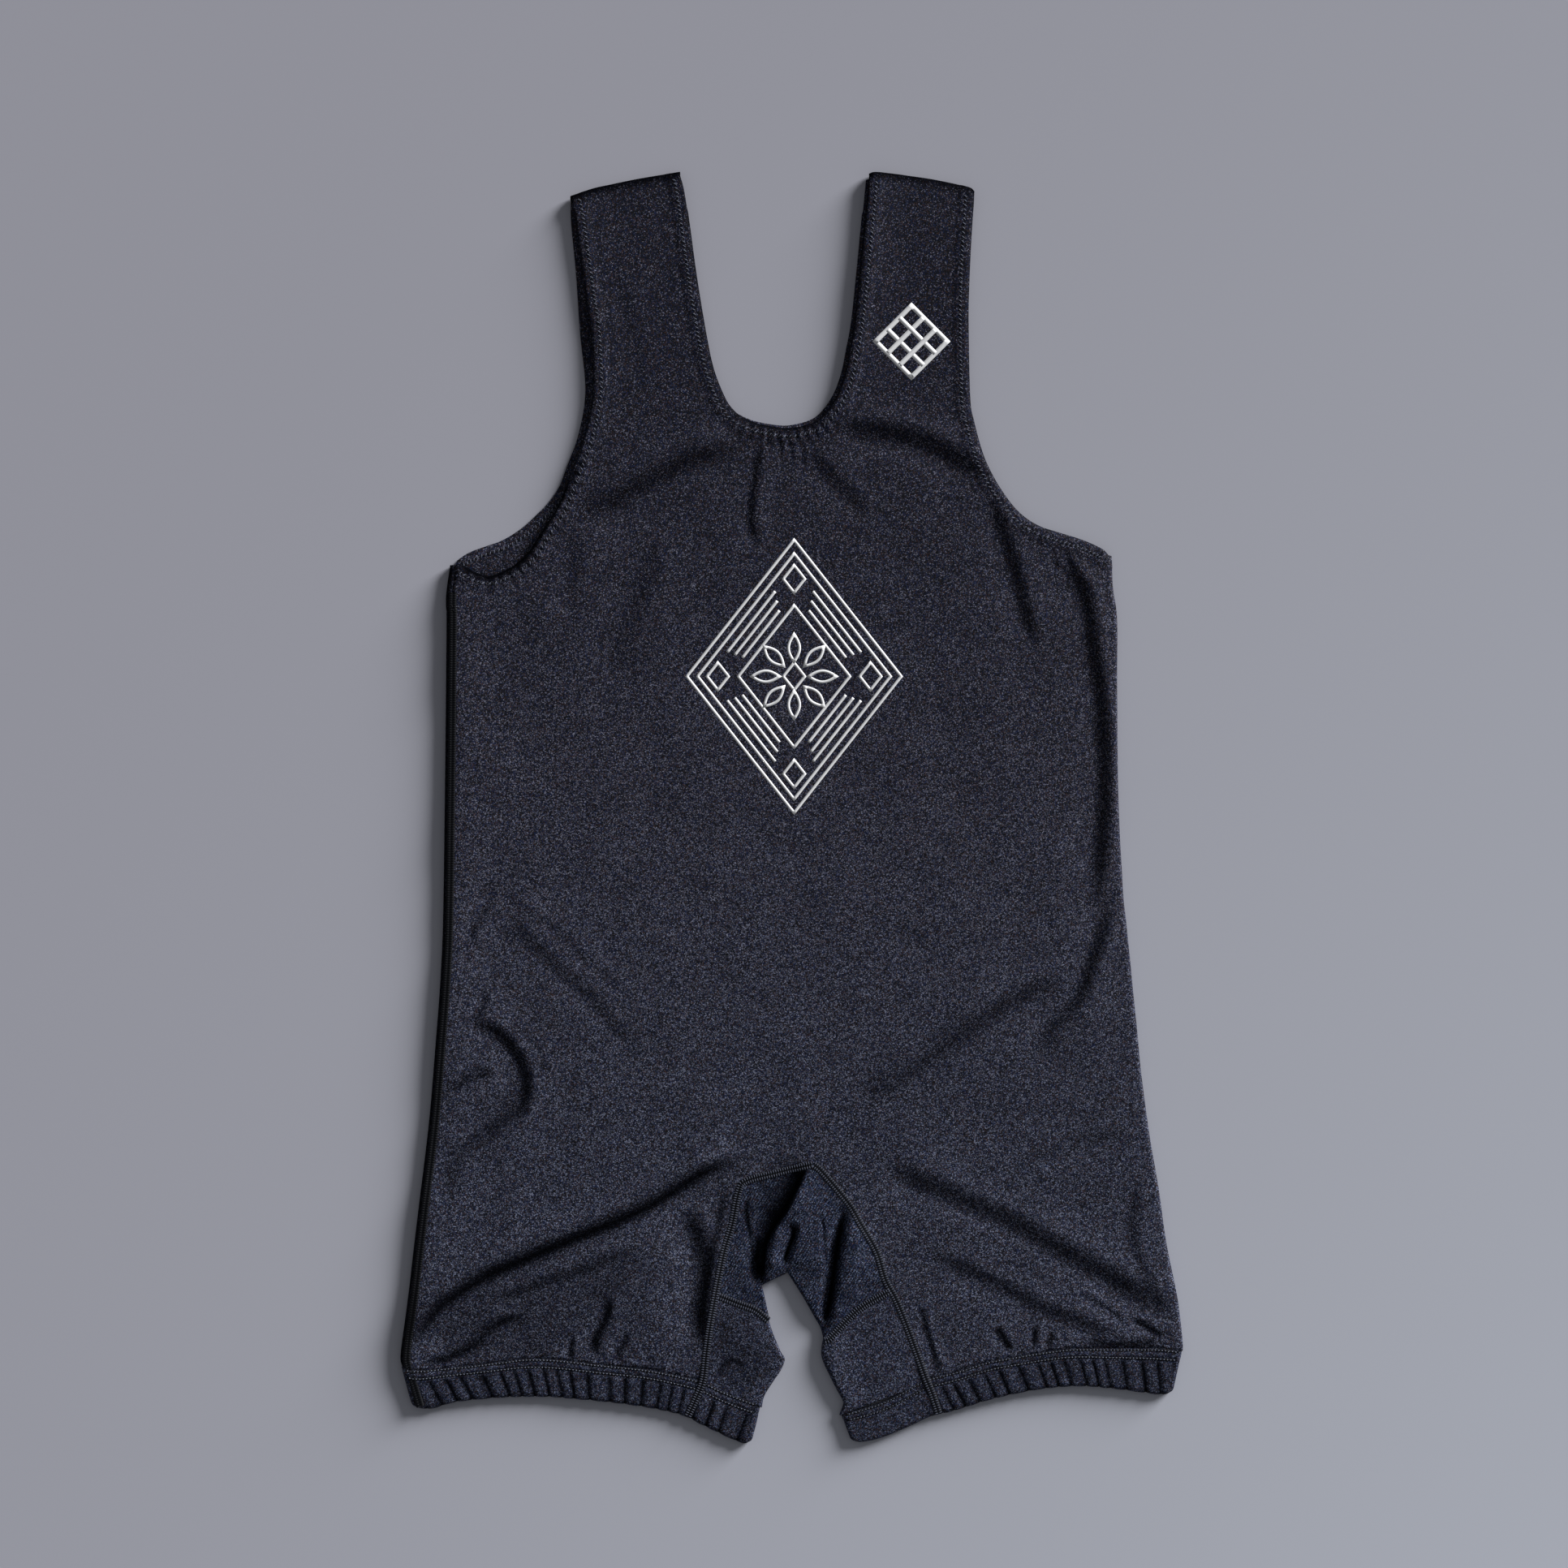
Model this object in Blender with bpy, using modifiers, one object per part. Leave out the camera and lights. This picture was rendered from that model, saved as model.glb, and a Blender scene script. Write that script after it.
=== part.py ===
"""Powerlifting singlet, laid flat on its back: a stretch-knit body with two shoulder straps,
short legs with elastic hems, and a crotch gusset that runs on into two inner leg panels.

The cloth is a tube that lies flattened, so every piece is a thin wall. The back lies on the
surface, the front lies on it, and one piece or the other turns round each side to its seam.
Left and right are as seen from above, with the shoulders pointing along +Y.
"""

import math

import bmesh
import bpy
import numpy as np
from mathutils import Vector
from mathutils.geometry import delaunay_2d_cdt

# Driving sizes, in millimetres.
CLOTH = 1.0  # wall of the stretch knit
HEM_WALL = 2.2  # two layers of knit with the elastic between them
SEAM_GAP = 0.3  # between two pieces that are sewn edge to edge
BACK_LEVEL = CLOTH / 2  # height of the middle of the back's wall above the surface
BODY_LEVEL = 4.1  # the same for the front's wall over the body
STRAP_LEVEL = 2.4  # the same for the front's wall over the straps
LOWEST_FRONT = CLOTH + SEAM_GAP + CLOTH / 2  # where the front lies on the back
SLOPE_FROM = 120.0  # the front starts to come down to the straps at this y
SLOPE_TO = 235.0
SHOULDERS_FROM = 370.0
SIDE_TURN = CLOTH / 2 + (BODY_LEVEL - BACK_LEVEL) / 2  # from a side to where its turn starts
STRAP_TURN = CLOTH / 2 + (STRAP_LEVEL - BACK_LEVEL) / 2
SEAM_FLAT = 1.0  # cloth past the turn at a side, before its seam
TURN_STEPS = 4  # flat facets round a side
BACK_SHIFT = 2.0  # the back's neck lies this far up and to the left of the front's

FRONT_GRID = 23.0  # spacing of the points inside a panel
BACK_GRID = 60.0
EDGE_STEP = 15.0  # spacing of the points along an outline
FOLD_STEP = 18.0  # spacing of the points along a fold
GUIDE_CLEAR = 4.0  # how near a fold's points may come to an outline
GRID_CLEAR = 0.55  # the same for the even field of points, as a share of its spacing
MM = 0.001

# Outline of the garment as it lies. Columns: x, y.
LEFT_SIDE = ((-210.5, 149.0), (-213.0, 122.0), (-214.5, -53.0), (-219.5, -147.0),
             (-229.5, -244.0), (-236.0, -297.0), (-241.0, -344.0))
RIGHT_SIDE = ((197.0, 150.0), (200.0, 112.0), (200.5, 5.0), (206.0, -80.0),
              (217.5, -184.0), (231.0, -271.0), (240.5, -335.0))
LEFT_SHOULDER = ((-136.5, 376.0), (-113.0, 383.0), (-69.0, 391.0))
RIGHT_SHOULDER = ((47.5, 390.5), (69.0, 389.0), (112.0, 379.5))
NECK = ((-69.0, 391.0), (-63.0, 357.0), (-53.5, 294.0), (-48.0, 270.0), (-36.5, 243.5),
        (-20.0, 235.5), (-4.5, 233.5), (10.0, 236.0), (23.5, 246.5), (32.5, 267.0),
        (38.0, 297.0), (42.5, 338.0), (47.5, 390.5))
LEFT_ARMHOLE = ((-136.5, 376.0), (-127.0, 315.0), (-122.5, 257.0), (-135.5, 206.0),
                (-153.0, 171.0), (-165.0, 153.5), (-187.5, 142.5), (-206.0, 151.5))
LEFT_ARMHOLE_BACK = ((-136.5, 376.0), (-133.5, 329.0), (-127.5, 257.0), (-139.0, 210.0),
                     (-156.5, 181.0), (-179.5, 164.0), (-209.0, 149.0))
RIGHT_ARMHOLE = ((112.0, 379.5), (109.0, 318.0), (109.5, 252.0), (117.5, 217.0),
                 (135.5, 185.0), (161.5, 170.0), (194.7, 156.0))

# Seams of the gusset and the inner leg panels, and the fold where those turn to the back.
GUSSET_SEAM = ((-44.5, -301.5), (-41.0, -271.0), (-32.5, -236.0), (-9.0, -225.0),
               (13.0, -220.0), (34.5, -244.0), (52.0, -273.0), (58.5, -298.0))
GUSSET_FOLD = ((-14.5, -316.5), (-18.5, -296.0), (-4.0, -287.0), (8.0, -304.0),
               (19.0, -327.5))
LEFT_INNER_SEAM = ((-44.5, -301.5), (-51.0, -323.0), (-55.0, -354.0))
LEFT_INNER_FOLD = ((-14.5, -316.5), (-4.5, -340.5), (-18.5, -368.0))
RIGHT_INNER_SEAM = ((58.5, -298.0), (70.0, -318.0), (82.5, -352.5))
RIGHT_INNER_FOLD = ((19.0, -327.5), (18.5, -342.0), (31.0, -372.5))

# Upper and lower edges of the leg hems, each from the outer side to the inner side.
LEFT_HEM_TOP = ((-241.0, -344.0), (-203.5, -344.5), (-163.0, -339.5), (-117.0, -343.5),
                (-55.0, -354.0))
LEFT_HEM_EDGE = ((-232.0, -370.5), (-179.5, -363.5), (-137.5, -363.5), (-81.5, -371.0),
                 (-28.0, -391.25))
RIGHT_HEM_TOP = ((240.5, -335.0), (197.5, -333.5), (159.5, -335.0), (120.0, -341.5),
                 (82.5, -352.5))
RIGHT_HEM_EDGE = ((234.5, -361.0), (197.5, -358.0), (159.5, -357.5), (121.0, -365.0),
                  (86.0, -375.0), (36.0, -390.5))
HEM_BACK = HEM_WALL / 2  # middle of a hem's lower layer, and of its upper layer
HEM_FRONT = HEM_BACK + HEM_WALL + SEAM_GAP
HEM_TURN = HEM_WALL / 2 + (HEM_FRONT - HEM_BACK) / 2
HEM_ROWS = 3
GATHER_PITCH = 9.0
GATHER_RISE = 0.9  # how far a gather's crest stands above the hem

FADE = 0.15  # share of a fold's length over which it dies away at each end
SOFT_STOP = 0.05  # how softly a trough flattens where the front meets the back, in mm2

# The largest folds of the front. A trough has a negative rise. Columns: route, width, rise.
FOLDS = (
    (((-118, 194), (-62, 220), (-32, 233)), 13, -1.5),  # left chest
    (((-115, 178), (-32, 217)), 14, 2.5),
    (((28, 236), (86, 226), (112, 210)), 13, -1.5),  # right chest
    (((18, 222), (52, 216), (115, 196)), 14, 2.5),
    (((-18, 224), (-25, 190), (-22, 157)), 6, -2.0),  # below the neck
    (((125, 184), (145, 117)), 7, -1.8),  # right armhole
    (((166, 154), (190, 90), (193, 12), (186, -60)), 9, -2.0),  # right side
    (((-178, -53), (-148, -73), (-95, -121)), 8, -1.8),  # left waist
    (((-176, -70), (-122, -119), (-88, -153)), 8, -1.8),
    (((-198, -133), (-166, -158), (-164, -185), (-188, -197)), 7, -2.2),  # left hip
    (((-178, -168), (-210, -205)), 10, 3.0),
    (((195, -63), (177, -116), (128, -168)), 8, -2.0),  # right hip
    (((168, -103), (96, -147), (46, -190)), 11, -1.8),
    (((152, -120), (52, -200)), 12, 2.5),
    (((-228, -318), (-188, -290), (-108, -255), (-34, -216)), 8, -2.2),  # left leg
    (((-215, -322), (-108, -268), (-60, -245)), 14, 3.5),
    (((-58, -252), (-52, -300)), 12, -1.8),
    (((60, -218), (120, -244), (215, -303)), 12, -2.2),  # right leg
    (((70, -240), (200, -312)), 12, 2.0),
    (((80, -270), (138, -300), (185, -324)), 9, -1.8),
    (((10, -222), (-14, -248), (-18, -292)), 9, -2.2),  # the gusset's pocket
    (((32, -252), (26, -280), (21, -318)), 6, -2.2),
    (((10, -240), (8, -285)), 9, 3.0),
)

KNIT_COLOUR = (0.021, 0.023, 0.036, 1.0)
KNIT_ROUGHNESS = 0.62


def smooth_line(rows, step):
    """Points about `step` apart on a smooth curve through a table's rows."""
    knots = np.array(rows, float)
    padded = np.vstack([2 * knots[0] - knots[1], knots, 2 * knots[-1] - knots[-2]])
    fine = [knots[0]]
    for a, b, c, d in zip(padded, padded[1:], padded[2:], padded[3:]):
        for t in np.linspace(0, 1, 25)[1:]:
            along = (c - a) * t + (2 * a - 5 * b + 4 * c - d) * t ** 2
            fine.append(b + 0.5 * (along + (3 * b - a - 3 * c + d) * t ** 3))
    fine = np.array(fine)
    length = np.linalg.norm(np.diff(fine, axis=0), axis=1).sum()
    return spread(fine, max(2, round(length / step) + 1))


def spread(line, count):
    """A fixed number of points spaced evenly along a line."""
    run = np.concatenate([[0], np.cumsum(np.linalg.norm(np.diff(line, axis=0), axis=1))])
    places = np.linspace(0, run[-1], count)
    return np.column_stack([np.interp(places, run, line[:, k]) for k in (0, 1)])


def inset(line, inward):
    """A line moved to its left by `inward`, so to its right where that is negative."""
    along = np.gradient(line, axis=0)
    along /= np.linalg.norm(along, axis=1)[:, None]
    return line + inward * np.column_stack([-along[:, 1], along[:, 0]])


def smooth_step(value):
    value = np.clip(value, 0, 1)
    return value * value * (3 - 2 * value)


def distance_to(route, points):
    """How far each point is from a route, and how far along it, from 0 to 1."""
    best = np.full(len(points), np.inf)
    place = np.zeros(len(points))
    pieces = len(route) - 1
    for k in range(pieces):
        start, side = route[k], route[k + 1] - route[k]
        t = np.clip((points - start) @ side / (side @ side), 0, 1)
        away = np.linalg.norm(points - start - t[:, None] * side, axis=1)
        nearer = away < best
        best[nearer] = away[nearer]
        place[nearer] = (k + t[nearer]) / pieces
    return best, place


def front_level(points):
    """Height of the middle of the front's wall above the surface that it lies on."""
    slope = smooth_step((points[:, 1] - SLOPE_FROM) / (SLOPE_TO - SLOPE_FROM))
    level = BODY_LEVEL + (STRAP_LEVEL - BODY_LEVEL) * slope
    for route, width, rise in FOLDS:
        away, place = distance_to(smooth_line(route, FOLD_STEP / 4), points)
        fade = smooth_step(np.minimum(place, 1 - place) / FADE)
        level = level + rise * fade * np.exp(-((away / (0.5 * width)) ** 2))
    spare = level - LOWEST_FRONT
    return LOWEST_FRONT + 0.5 * (spare + np.sqrt(spare ** 2 + SOFT_STOP))


def inside(outline, points):
    """Which points lie within a closed outline."""
    hit = np.zeros(len(points), bool)
    for (x0, y0), (x1, y1) in zip(outline, np.roll(outline, -1, axis=0)):
        crosses = (y0 > points[:, 1]) != (y1 > points[:, 1])
        at_x = x0 + (points[:, 1] - y0) * (x1 - x0) / (y1 - y0 if y1 != y0 else 1)
        hit ^= crosses & (points[:, 0] < at_x)
    return hit


def grid_points(outline, spacing, guides):
    """Fold guide points, and an even field of points between them and the outline."""
    low, high = outline.min(axis=0), outline.max(axis=0)
    rows = np.arange(low[1], high[1], spacing * math.sqrt(3) / 2)
    field = [(x + spacing / 2 * (k % 2), y)
             for k, y in enumerate(rows) for x in np.arange(low[0], high[0], spacing)]
    kept = []
    for candidates, clear in ((guides, GUIDE_CLEAR), (np.array(field), GRID_CLEAR * spacing)):
        if not len(candidates):
            continue
        candidates = candidates[inside(outline, candidates)]
        fixed = np.vstack([outline] + kept)
        gaps = np.linalg.norm(candidates[:, None] - fixed[None], axis=2).min(axis=1)
        kept.append(candidates[gaps > clear])
    return np.vstack(kept)


def fold_guides():
    """Points down the middle and both flanks of every fold."""
    lines = [inset(smooth_line(route, FOLD_STEP), across * width)
             for route, width, _rise in FOLDS for across in (-0.75, 0.0, 0.75)]
    return np.vstack(lines)


def flat_sheet(edges, spacing, guides, level):
    """A sheet of triangles within an outline, and the sheet's points on each outline edge."""
    outline = np.vstack([edge[:-1] for edge in edges])
    points = np.vstack([outline, grid_points(outline, spacing, guides)])
    count = len(outline)
    loop = [(k, (k + 1) % count) for k in range(count)]
    flat, _sides, faces, origins, *_rest = delaunay_2d_cdt(
        [Vector(point) for point in points], loop, [], 0, 1e-6, True)
    placed = np.array([tuple(point) for point in flat])
    within = inside(outline, placed[np.array(faces)].mean(axis=1))
    faces = [face for face, kept in zip(faces, within) if kept]
    sheet = bmesh.new()
    corners = [sheet.verts.new((*place, z)) for place, z in zip(placed, level(placed))]
    for face in faces:
        sheet.faces.new([corners[k] for k in face])
    at = {source: corners[k] for k, sources in enumerate(origins) for source in sources}
    on_edges, start = [], 0
    for edge in edges:
        on_edges.append([at[k % count] for k in range(start, start + len(edge))])
        start += len(edge) - 1
    return sheet, on_edges


def half_circle(drop):
    """Steps round a turn that climbs or falls by `drop`, as (outwards, upwards)."""
    angles = [math.pi * k / TURN_STEPS for k in range(1, TURN_STEPS + 1)]
    return [(abs(drop) / 2 * math.sin(a), drop / 2 * (1 - math.cos(a))) for a in angles]


def turn_edge(sheet, corners, outward, levels):
    """Carry a sheet's edge outwards round a turn to new levels, and a little way back in."""
    base = [corner.co.copy() for corner in corners]
    paths = [half_circle(level - place.z) + [(-SEAM_FLAT, level - place.z)]
             for place, level in zip(base, levels)]
    for step in zip(*paths):
        ring = [sheet.verts.new(place + outward * out + Vector((0, 0, up)))
                for place, (out, up) in zip(base, step)]
        for a, b, c, d in zip(corners, corners[1:], ring[1:], ring):
            sheet.faces.new((a, b, c, d))
        corners = ring


def cloth_piece(name, sheet, wall):
    """A named object in metres with its own knit material, and its wall by Solidify."""
    bmesh.ops.recalc_face_normals(sheet, faces=sheet.faces)
    bmesh.ops.scale(sheet, vec=(MM, MM, MM), verts=sheet.verts)
    mesh = bpy.data.meshes.new(name)
    sheet.to_mesh(mesh)
    sheet.free()
    mesh.shade_smooth()
    piece = bpy.data.objects.new(name, mesh)
    garment.objects.link(piece)
    material = bpy.data.materials.new(name + "_knit")
    material.use_nodes = True
    shader = material.node_tree.nodes["Principled BSDF"]
    shader.inputs["Base Color"].default_value = KNIT_COLOUR
    shader.inputs["Roughness"].default_value = KNIT_ROUGHNESS
    shader.inputs["Metallic"].default_value = 0.0
    mesh.materials.append(material)
    shell = piece.modifiers.new("Wall", "SOLIDIFY")
    shell.thickness = wall * MM
    shell.offset = 0.0


def shifted(rows, across, up=0.0):
    """The smooth line through a table's rows, moved bodily."""
    return smooth_line(rows, EDGE_STEP) + np.array([across, up])


def opening(rows, shoulder_drop, across=0.0, up=0.0):
    """A neck or armhole edge, moved bodily, and lowered where it meets a strap's top."""
    line = shifted(rows, across, up)
    line[line[:, 1] > SHOULDERS_FROM, 1] -= shoulder_drop
    return line


def joined(*lines):
    """Edges end to end: each ends on the first point of the next."""
    lines = [line.copy() for line in lines]
    for before, after in zip(lines, lines[1:] + lines[:1]):
        before[-1] = after[0]
    return lines


def seam_edges(left_side_x, right_side_x):
    """The lower edges of a body panel, from its left side to its right side."""
    left_hem = smooth_line(LEFT_HEM_TOP, EDGE_STEP)
    right_hem = smooth_line(RIGHT_HEM_TOP, EDGE_STEP)[::-1]
    left_hem[0, 0] = left_side_x
    right_hem[-1, 0] = right_side_x
    lines = (left_hem, smooth_line(LEFT_INNER_SEAM, EDGE_STEP)[::-1],
             smooth_line(GUSSET_SEAM, EDGE_STEP),
             smooth_line(RIGHT_INNER_SEAM, EDGE_STEP), right_hem)
    return [inset(line, SEAM_GAP / 2) for line in lines]


def front_panel():
    """The whole front with its two straps: it turns under at its right and its shoulders."""
    sides = [shifted(LEFT_SIDE, SIDE_TURN + SEAM_FLAT + SEAM_GAP),
             shifted(RIGHT_SIDE, -SIDE_TURN)[::-1]]
    sides[1][0, 1] += SEAM_GAP / 2
    edges = joined(
        sides[0],
        *seam_edges(sides[0][-1, 0], sides[1][0, 0]),
        sides[1],
        opening(RIGHT_ARMHOLE, STRAP_TURN)[::-1],
        shifted(RIGHT_SHOULDER, 0, -STRAP_TURN)[::-1],
        opening(NECK, STRAP_TURN)[::-1],
        shifted(LEFT_SHOULDER, 0, -STRAP_TURN)[::-1],
        opening(LEFT_ARMHOLE, STRAP_TURN),
    )
    sheet, on_edges = flat_sheet(edges, FRONT_GRID, fold_guides(), front_level)
    for edge, outward in ((6, (1, 0, 0)), (8, (0, 1, 0)), (10, (0, 1, 0))):
        corners = on_edges[edge]
        turn_edge(sheet, corners, Vector(outward), [BACK_LEVEL] * len(corners))
    cloth_piece("front_panel", sheet, CLOTH)


def back_panel():
    """The whole back with its two straps: it lies on the surface and turns up at its left."""
    sides = [shifted(LEFT_SIDE, SIDE_TURN),
             shifted(RIGHT_SIDE, -SIDE_TURN - SEAM_FLAT - SEAM_GAP)[::-1]]
    sides[1][0, 1] += SEAM_GAP / 2
    strap_end = STRAP_TURN + SEAM_FLAT + SEAM_GAP
    edges = joined(
        sides[0],
        *seam_edges(sides[0][-1, 0], sides[1][0, 0]),
        sides[1],
        opening(RIGHT_ARMHOLE, strap_end, -BACK_SHIFT)[::-1],
        shifted(RIGHT_SHOULDER, -BACK_SHIFT, -strap_end)[::-1],
        opening(NECK, strap_end + BACK_SHIFT, -BACK_SHIFT, BACK_SHIFT)[::-1],
        shifted(LEFT_SHOULDER, 0, -strap_end)[::-1],
        opening(LEFT_ARMHOLE_BACK, strap_end),
    )
    sheet, on_edges = flat_sheet(edges, BACK_GRID, np.empty((0, 2)), back_level)
    places = np.array([corner.co[:2] for corner in on_edges[0]])
    turn_edge(sheet, on_edges[0], Vector((-1, 0, 0)), front_level(places))
    cloth_piece("back_panel", sheet, CLOTH)


def back_level(points):
    return np.full(len(points), BACK_LEVEL)


def turned_panel(name, seam, fold, across):
    """A panel from its front seam out to a fold, round it, and back to its back seam."""
    outward = fold - seam
    outward /= np.linalg.norm(outward, axis=1)[:, None]
    turn = fold - SIDE_TURN * outward
    rows = [seam + (turn - seam) * t for t in np.linspace(0, 1, across + 1)]
    sheet = bmesh.new()
    front = [np.column_stack([row, front_level(row)]) for row in rows]
    fold_level = front[-1][:, 2]
    steps = np.array([half_circle(BACK_LEVEL - level) for level in fold_level])
    round_fold = [np.column_stack([turn + outward * steps[:, k, :1],
                                   fold_level + steps[:, k, 1]])
                  for k in range(TURN_STEPS)]
    back = [np.column_stack([row, back_level(row)]) for row in rows[-2::-1]]
    rings = [[sheet.verts.new(place) for place in ring]
             for ring in front + round_fold + back]
    for ring, after in zip(rings, rings[1:]):
        for a, b, c, d in zip(ring, ring[1:], after[1:], after):
            sheet.faces.new((a, b, c, d))
    cloth_piece(name, sheet, CLOTH)


def shortened(line, clear):
    """A line with both its ends drawn in by `clear`."""
    line = line.copy()
    for end, near in ((0, 1), (-1, -2)):
        along = line[near] - line[end]
        line[end] += along * clear / np.linalg.norm(along)
    return line


def inner_panel(name, seam_rows, fold_rows, side, across):
    """A gusset or inner leg panel. `side` is +1 where it lies to the left of its seam."""
    seam = smooth_line(seam_rows, EDGE_STEP)
    fold = spread(smooth_line(fold_rows, FOLD_STEP / 4), len(seam))
    turned_panel(name, shortened(inset(seam, side * SEAM_GAP), SEAM_GAP),
                 shortened(fold, SEAM_GAP), across)


def end_turn(end, before, level, other_level):
    """The points round the end of a hem, between its two layers."""
    outward = (end - before) / np.linalg.norm(end - before)
    return [(*(end + outward * out), level + up)
            for out, up in half_circle(other_level - level)[:-1]]


def leg_hem(name, top_rows, edge_rows, inner_end, side):
    """An elastic hem all round a leg opening, lying flat, with its front layer gathered."""
    top = np.vstack([smooth_line(top_rows, EDGE_STEP), inner_end])
    edge = smooth_line(edge_rows, EDGE_STEP)
    length = np.linalg.norm(np.diff(edge, axis=0), axis=1).sum()
    count = 2 * round(length / GATHER_PITCH) + 1
    top = spread(inset(top, side * SEAM_GAP), count)
    edge = spread(edge, count)
    gathers = GATHER_RISE * (np.arange(count) % 2)
    sheet = bmesh.new()
    rings = []
    for down in np.linspace(0, 1, HEM_ROWS):
        line = shortened(top + (edge - top) * down, HEM_TURN)
        upper = np.column_stack([line, HEM_FRONT + gathers * min(1, 2 * down)])
        lower = np.column_stack([line, np.full(count, HEM_BACK)])
        ring = [*upper, *end_turn(line[-1], line[-2], HEM_FRONT, HEM_BACK),
                *lower[::-1], *end_turn(line[0], line[1], HEM_BACK, HEM_FRONT)]
        rings.append([sheet.verts.new(place) for place in ring])
    for ring, after in zip(rings, rings[1:]):
        for a, b, c, d in zip(ring, ring[1:] + ring[:1], after[1:] + after[:1], after):
            sheet.faces.new((a, b, c, d))
    cloth_piece(name, sheet, HEM_WALL)


# Start from an empty scene, then sew the garment together.
for old in list(bpy.data.objects):
    bpy.data.objects.remove(old, do_unlink=True)
garment = bpy.data.collections.new("powerlifting_singlet")
bpy.context.scene.collection.children.link(garment)

front_panel()
back_panel()
inner_panel("crotch_gusset", GUSSET_SEAM, GUSSET_FOLD, -1, 6)
inner_panel("inner_leg_left", LEFT_INNER_SEAM, LEFT_INNER_FOLD, 1, 3)
inner_panel("inner_leg_right", RIGHT_INNER_SEAM, RIGHT_INNER_FOLD, -1, 4)
leg_hem("leg_hem_left", LEFT_HEM_TOP, LEFT_HEM_EDGE, LEFT_INNER_FOLD[-1], -1)
leg_hem("leg_hem_right", RIGHT_HEM_TOP, RIGHT_HEM_EDGE, RIGHT_INNER_FOLD[-1], 1)
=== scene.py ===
"""Powerlifting singlet laid flat on its back, with its knit, seams, stitching and prints.

All tables give millimetres from the middle of the garment, x to the right and y up towards
the shoulders, as seen from above. Heights are millimetres above the surface it lies on.
"""

import math

import bpy
import numpy as np
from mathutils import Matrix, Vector
from mathutils.geometry import delaunay_2d_cdt


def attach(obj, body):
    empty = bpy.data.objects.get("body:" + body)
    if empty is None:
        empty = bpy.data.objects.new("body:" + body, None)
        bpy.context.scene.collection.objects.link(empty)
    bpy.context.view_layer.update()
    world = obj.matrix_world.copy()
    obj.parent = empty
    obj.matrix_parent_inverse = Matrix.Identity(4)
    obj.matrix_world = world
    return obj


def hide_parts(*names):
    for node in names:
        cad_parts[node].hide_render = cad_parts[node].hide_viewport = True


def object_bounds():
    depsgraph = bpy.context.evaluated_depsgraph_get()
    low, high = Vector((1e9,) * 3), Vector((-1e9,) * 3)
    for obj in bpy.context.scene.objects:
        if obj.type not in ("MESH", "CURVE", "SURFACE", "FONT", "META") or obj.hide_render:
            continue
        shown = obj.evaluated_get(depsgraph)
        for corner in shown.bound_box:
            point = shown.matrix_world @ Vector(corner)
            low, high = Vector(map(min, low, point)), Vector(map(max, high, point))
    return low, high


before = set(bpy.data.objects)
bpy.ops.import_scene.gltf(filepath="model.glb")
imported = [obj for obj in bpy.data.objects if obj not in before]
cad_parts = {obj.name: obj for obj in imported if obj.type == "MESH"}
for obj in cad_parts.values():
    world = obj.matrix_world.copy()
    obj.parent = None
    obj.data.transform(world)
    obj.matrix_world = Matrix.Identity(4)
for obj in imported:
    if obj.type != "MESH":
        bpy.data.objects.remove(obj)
cad_low, cad_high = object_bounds()
MM = 0.001
MIDDLE = np.array([(cad_low[0] + cad_high[0]) / 2, (cad_low[1] + cad_high[1]) / 2, 0.0]) / MM


# ---------------------------------------------------------------------------------------
# Back panel. One layer of polyester and elastane knit, cut with both its shoulder straps.
# It lies flat on the surface; its left side is carried up and over to the front, where a flatlock
# seam joins it. Its neck and armhole edges, turned in and stitched on the garment, are left flat
# and plain here.

CLOTH = 0.8  # wall of the knit
BACK_LEVEL = 0.5  # middle of the back's wall above the surface
SIDE_TURN = 2.3  # from a side's edge to where its turn starts
STRAP_TURN = 2.0  # the same at the top of a strap
TURN_OUT = 2.2  # the most that a turn stands out
TURN_STEPS = 10
EDGE_STEP = 2.0  # between the points of an edge
SIDE_STRIP = 3.4  # cloth between the left edge and its flatlock seam
SHOULDERS_FROM = 366.0  # height from which an opening's edge belongs to a strap's top
SHOULDERS_EASE = 6.0
BACK_SHIFT = 2.0  # the back's neck lies this far up and to the left of the front's
SHORT_SIDE = 1.5  # the back's edge inside the front's, along the right side
SHORT_STRAP = 1.2  # and at the top of each strap
BACK_STEP = 7.0  # between the points inside the back, and how far they keep from its edge
BACK_CLEAR = 3.0

LEFT_SIDE = ((-210.5, 149.0), (-212.8, 132.0), (-213.0, 122.0), (-212.7, 105.0), (-214.5, -53.0),
             (-216.3, -104.0), (-219.5, -147.0), (-223.5, -194.0), (-229.5, -244.0),
             (-233.0, -273.0), (-235.5, -295.0), (-238.2, -316.0), (-241.0, -337.0),
             (-240.5, -344.0))
RIGHT_SIDE = ((197.0, 150.0), (197.5, 134.5), (200.0, 115.5), (200.0, 72.0), (200.8, 5.0),
              (204.0, -53.0), (210.8, -120.0), (217.5, -184.0), (225.9, -237.0),
              (230.9, -271.0), (237.5, -304.0), (240.3, -328.0), (240.5, -335.0))
LEFT_SHOULDER = ((-136.5, 376.0), (-123.5, 380.5), (-113.0, 383.0), (-99.0, 386.0),
                 (-85.0, 388.5), (-69.0, 391.0))
RIGHT_SHOULDER = ((47.5, 389.8), (52.0, 390.8), (69.0, 389.0), (86.5, 386.5), (107.5, 382.0),
                  (112.0, 379.5))
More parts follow.
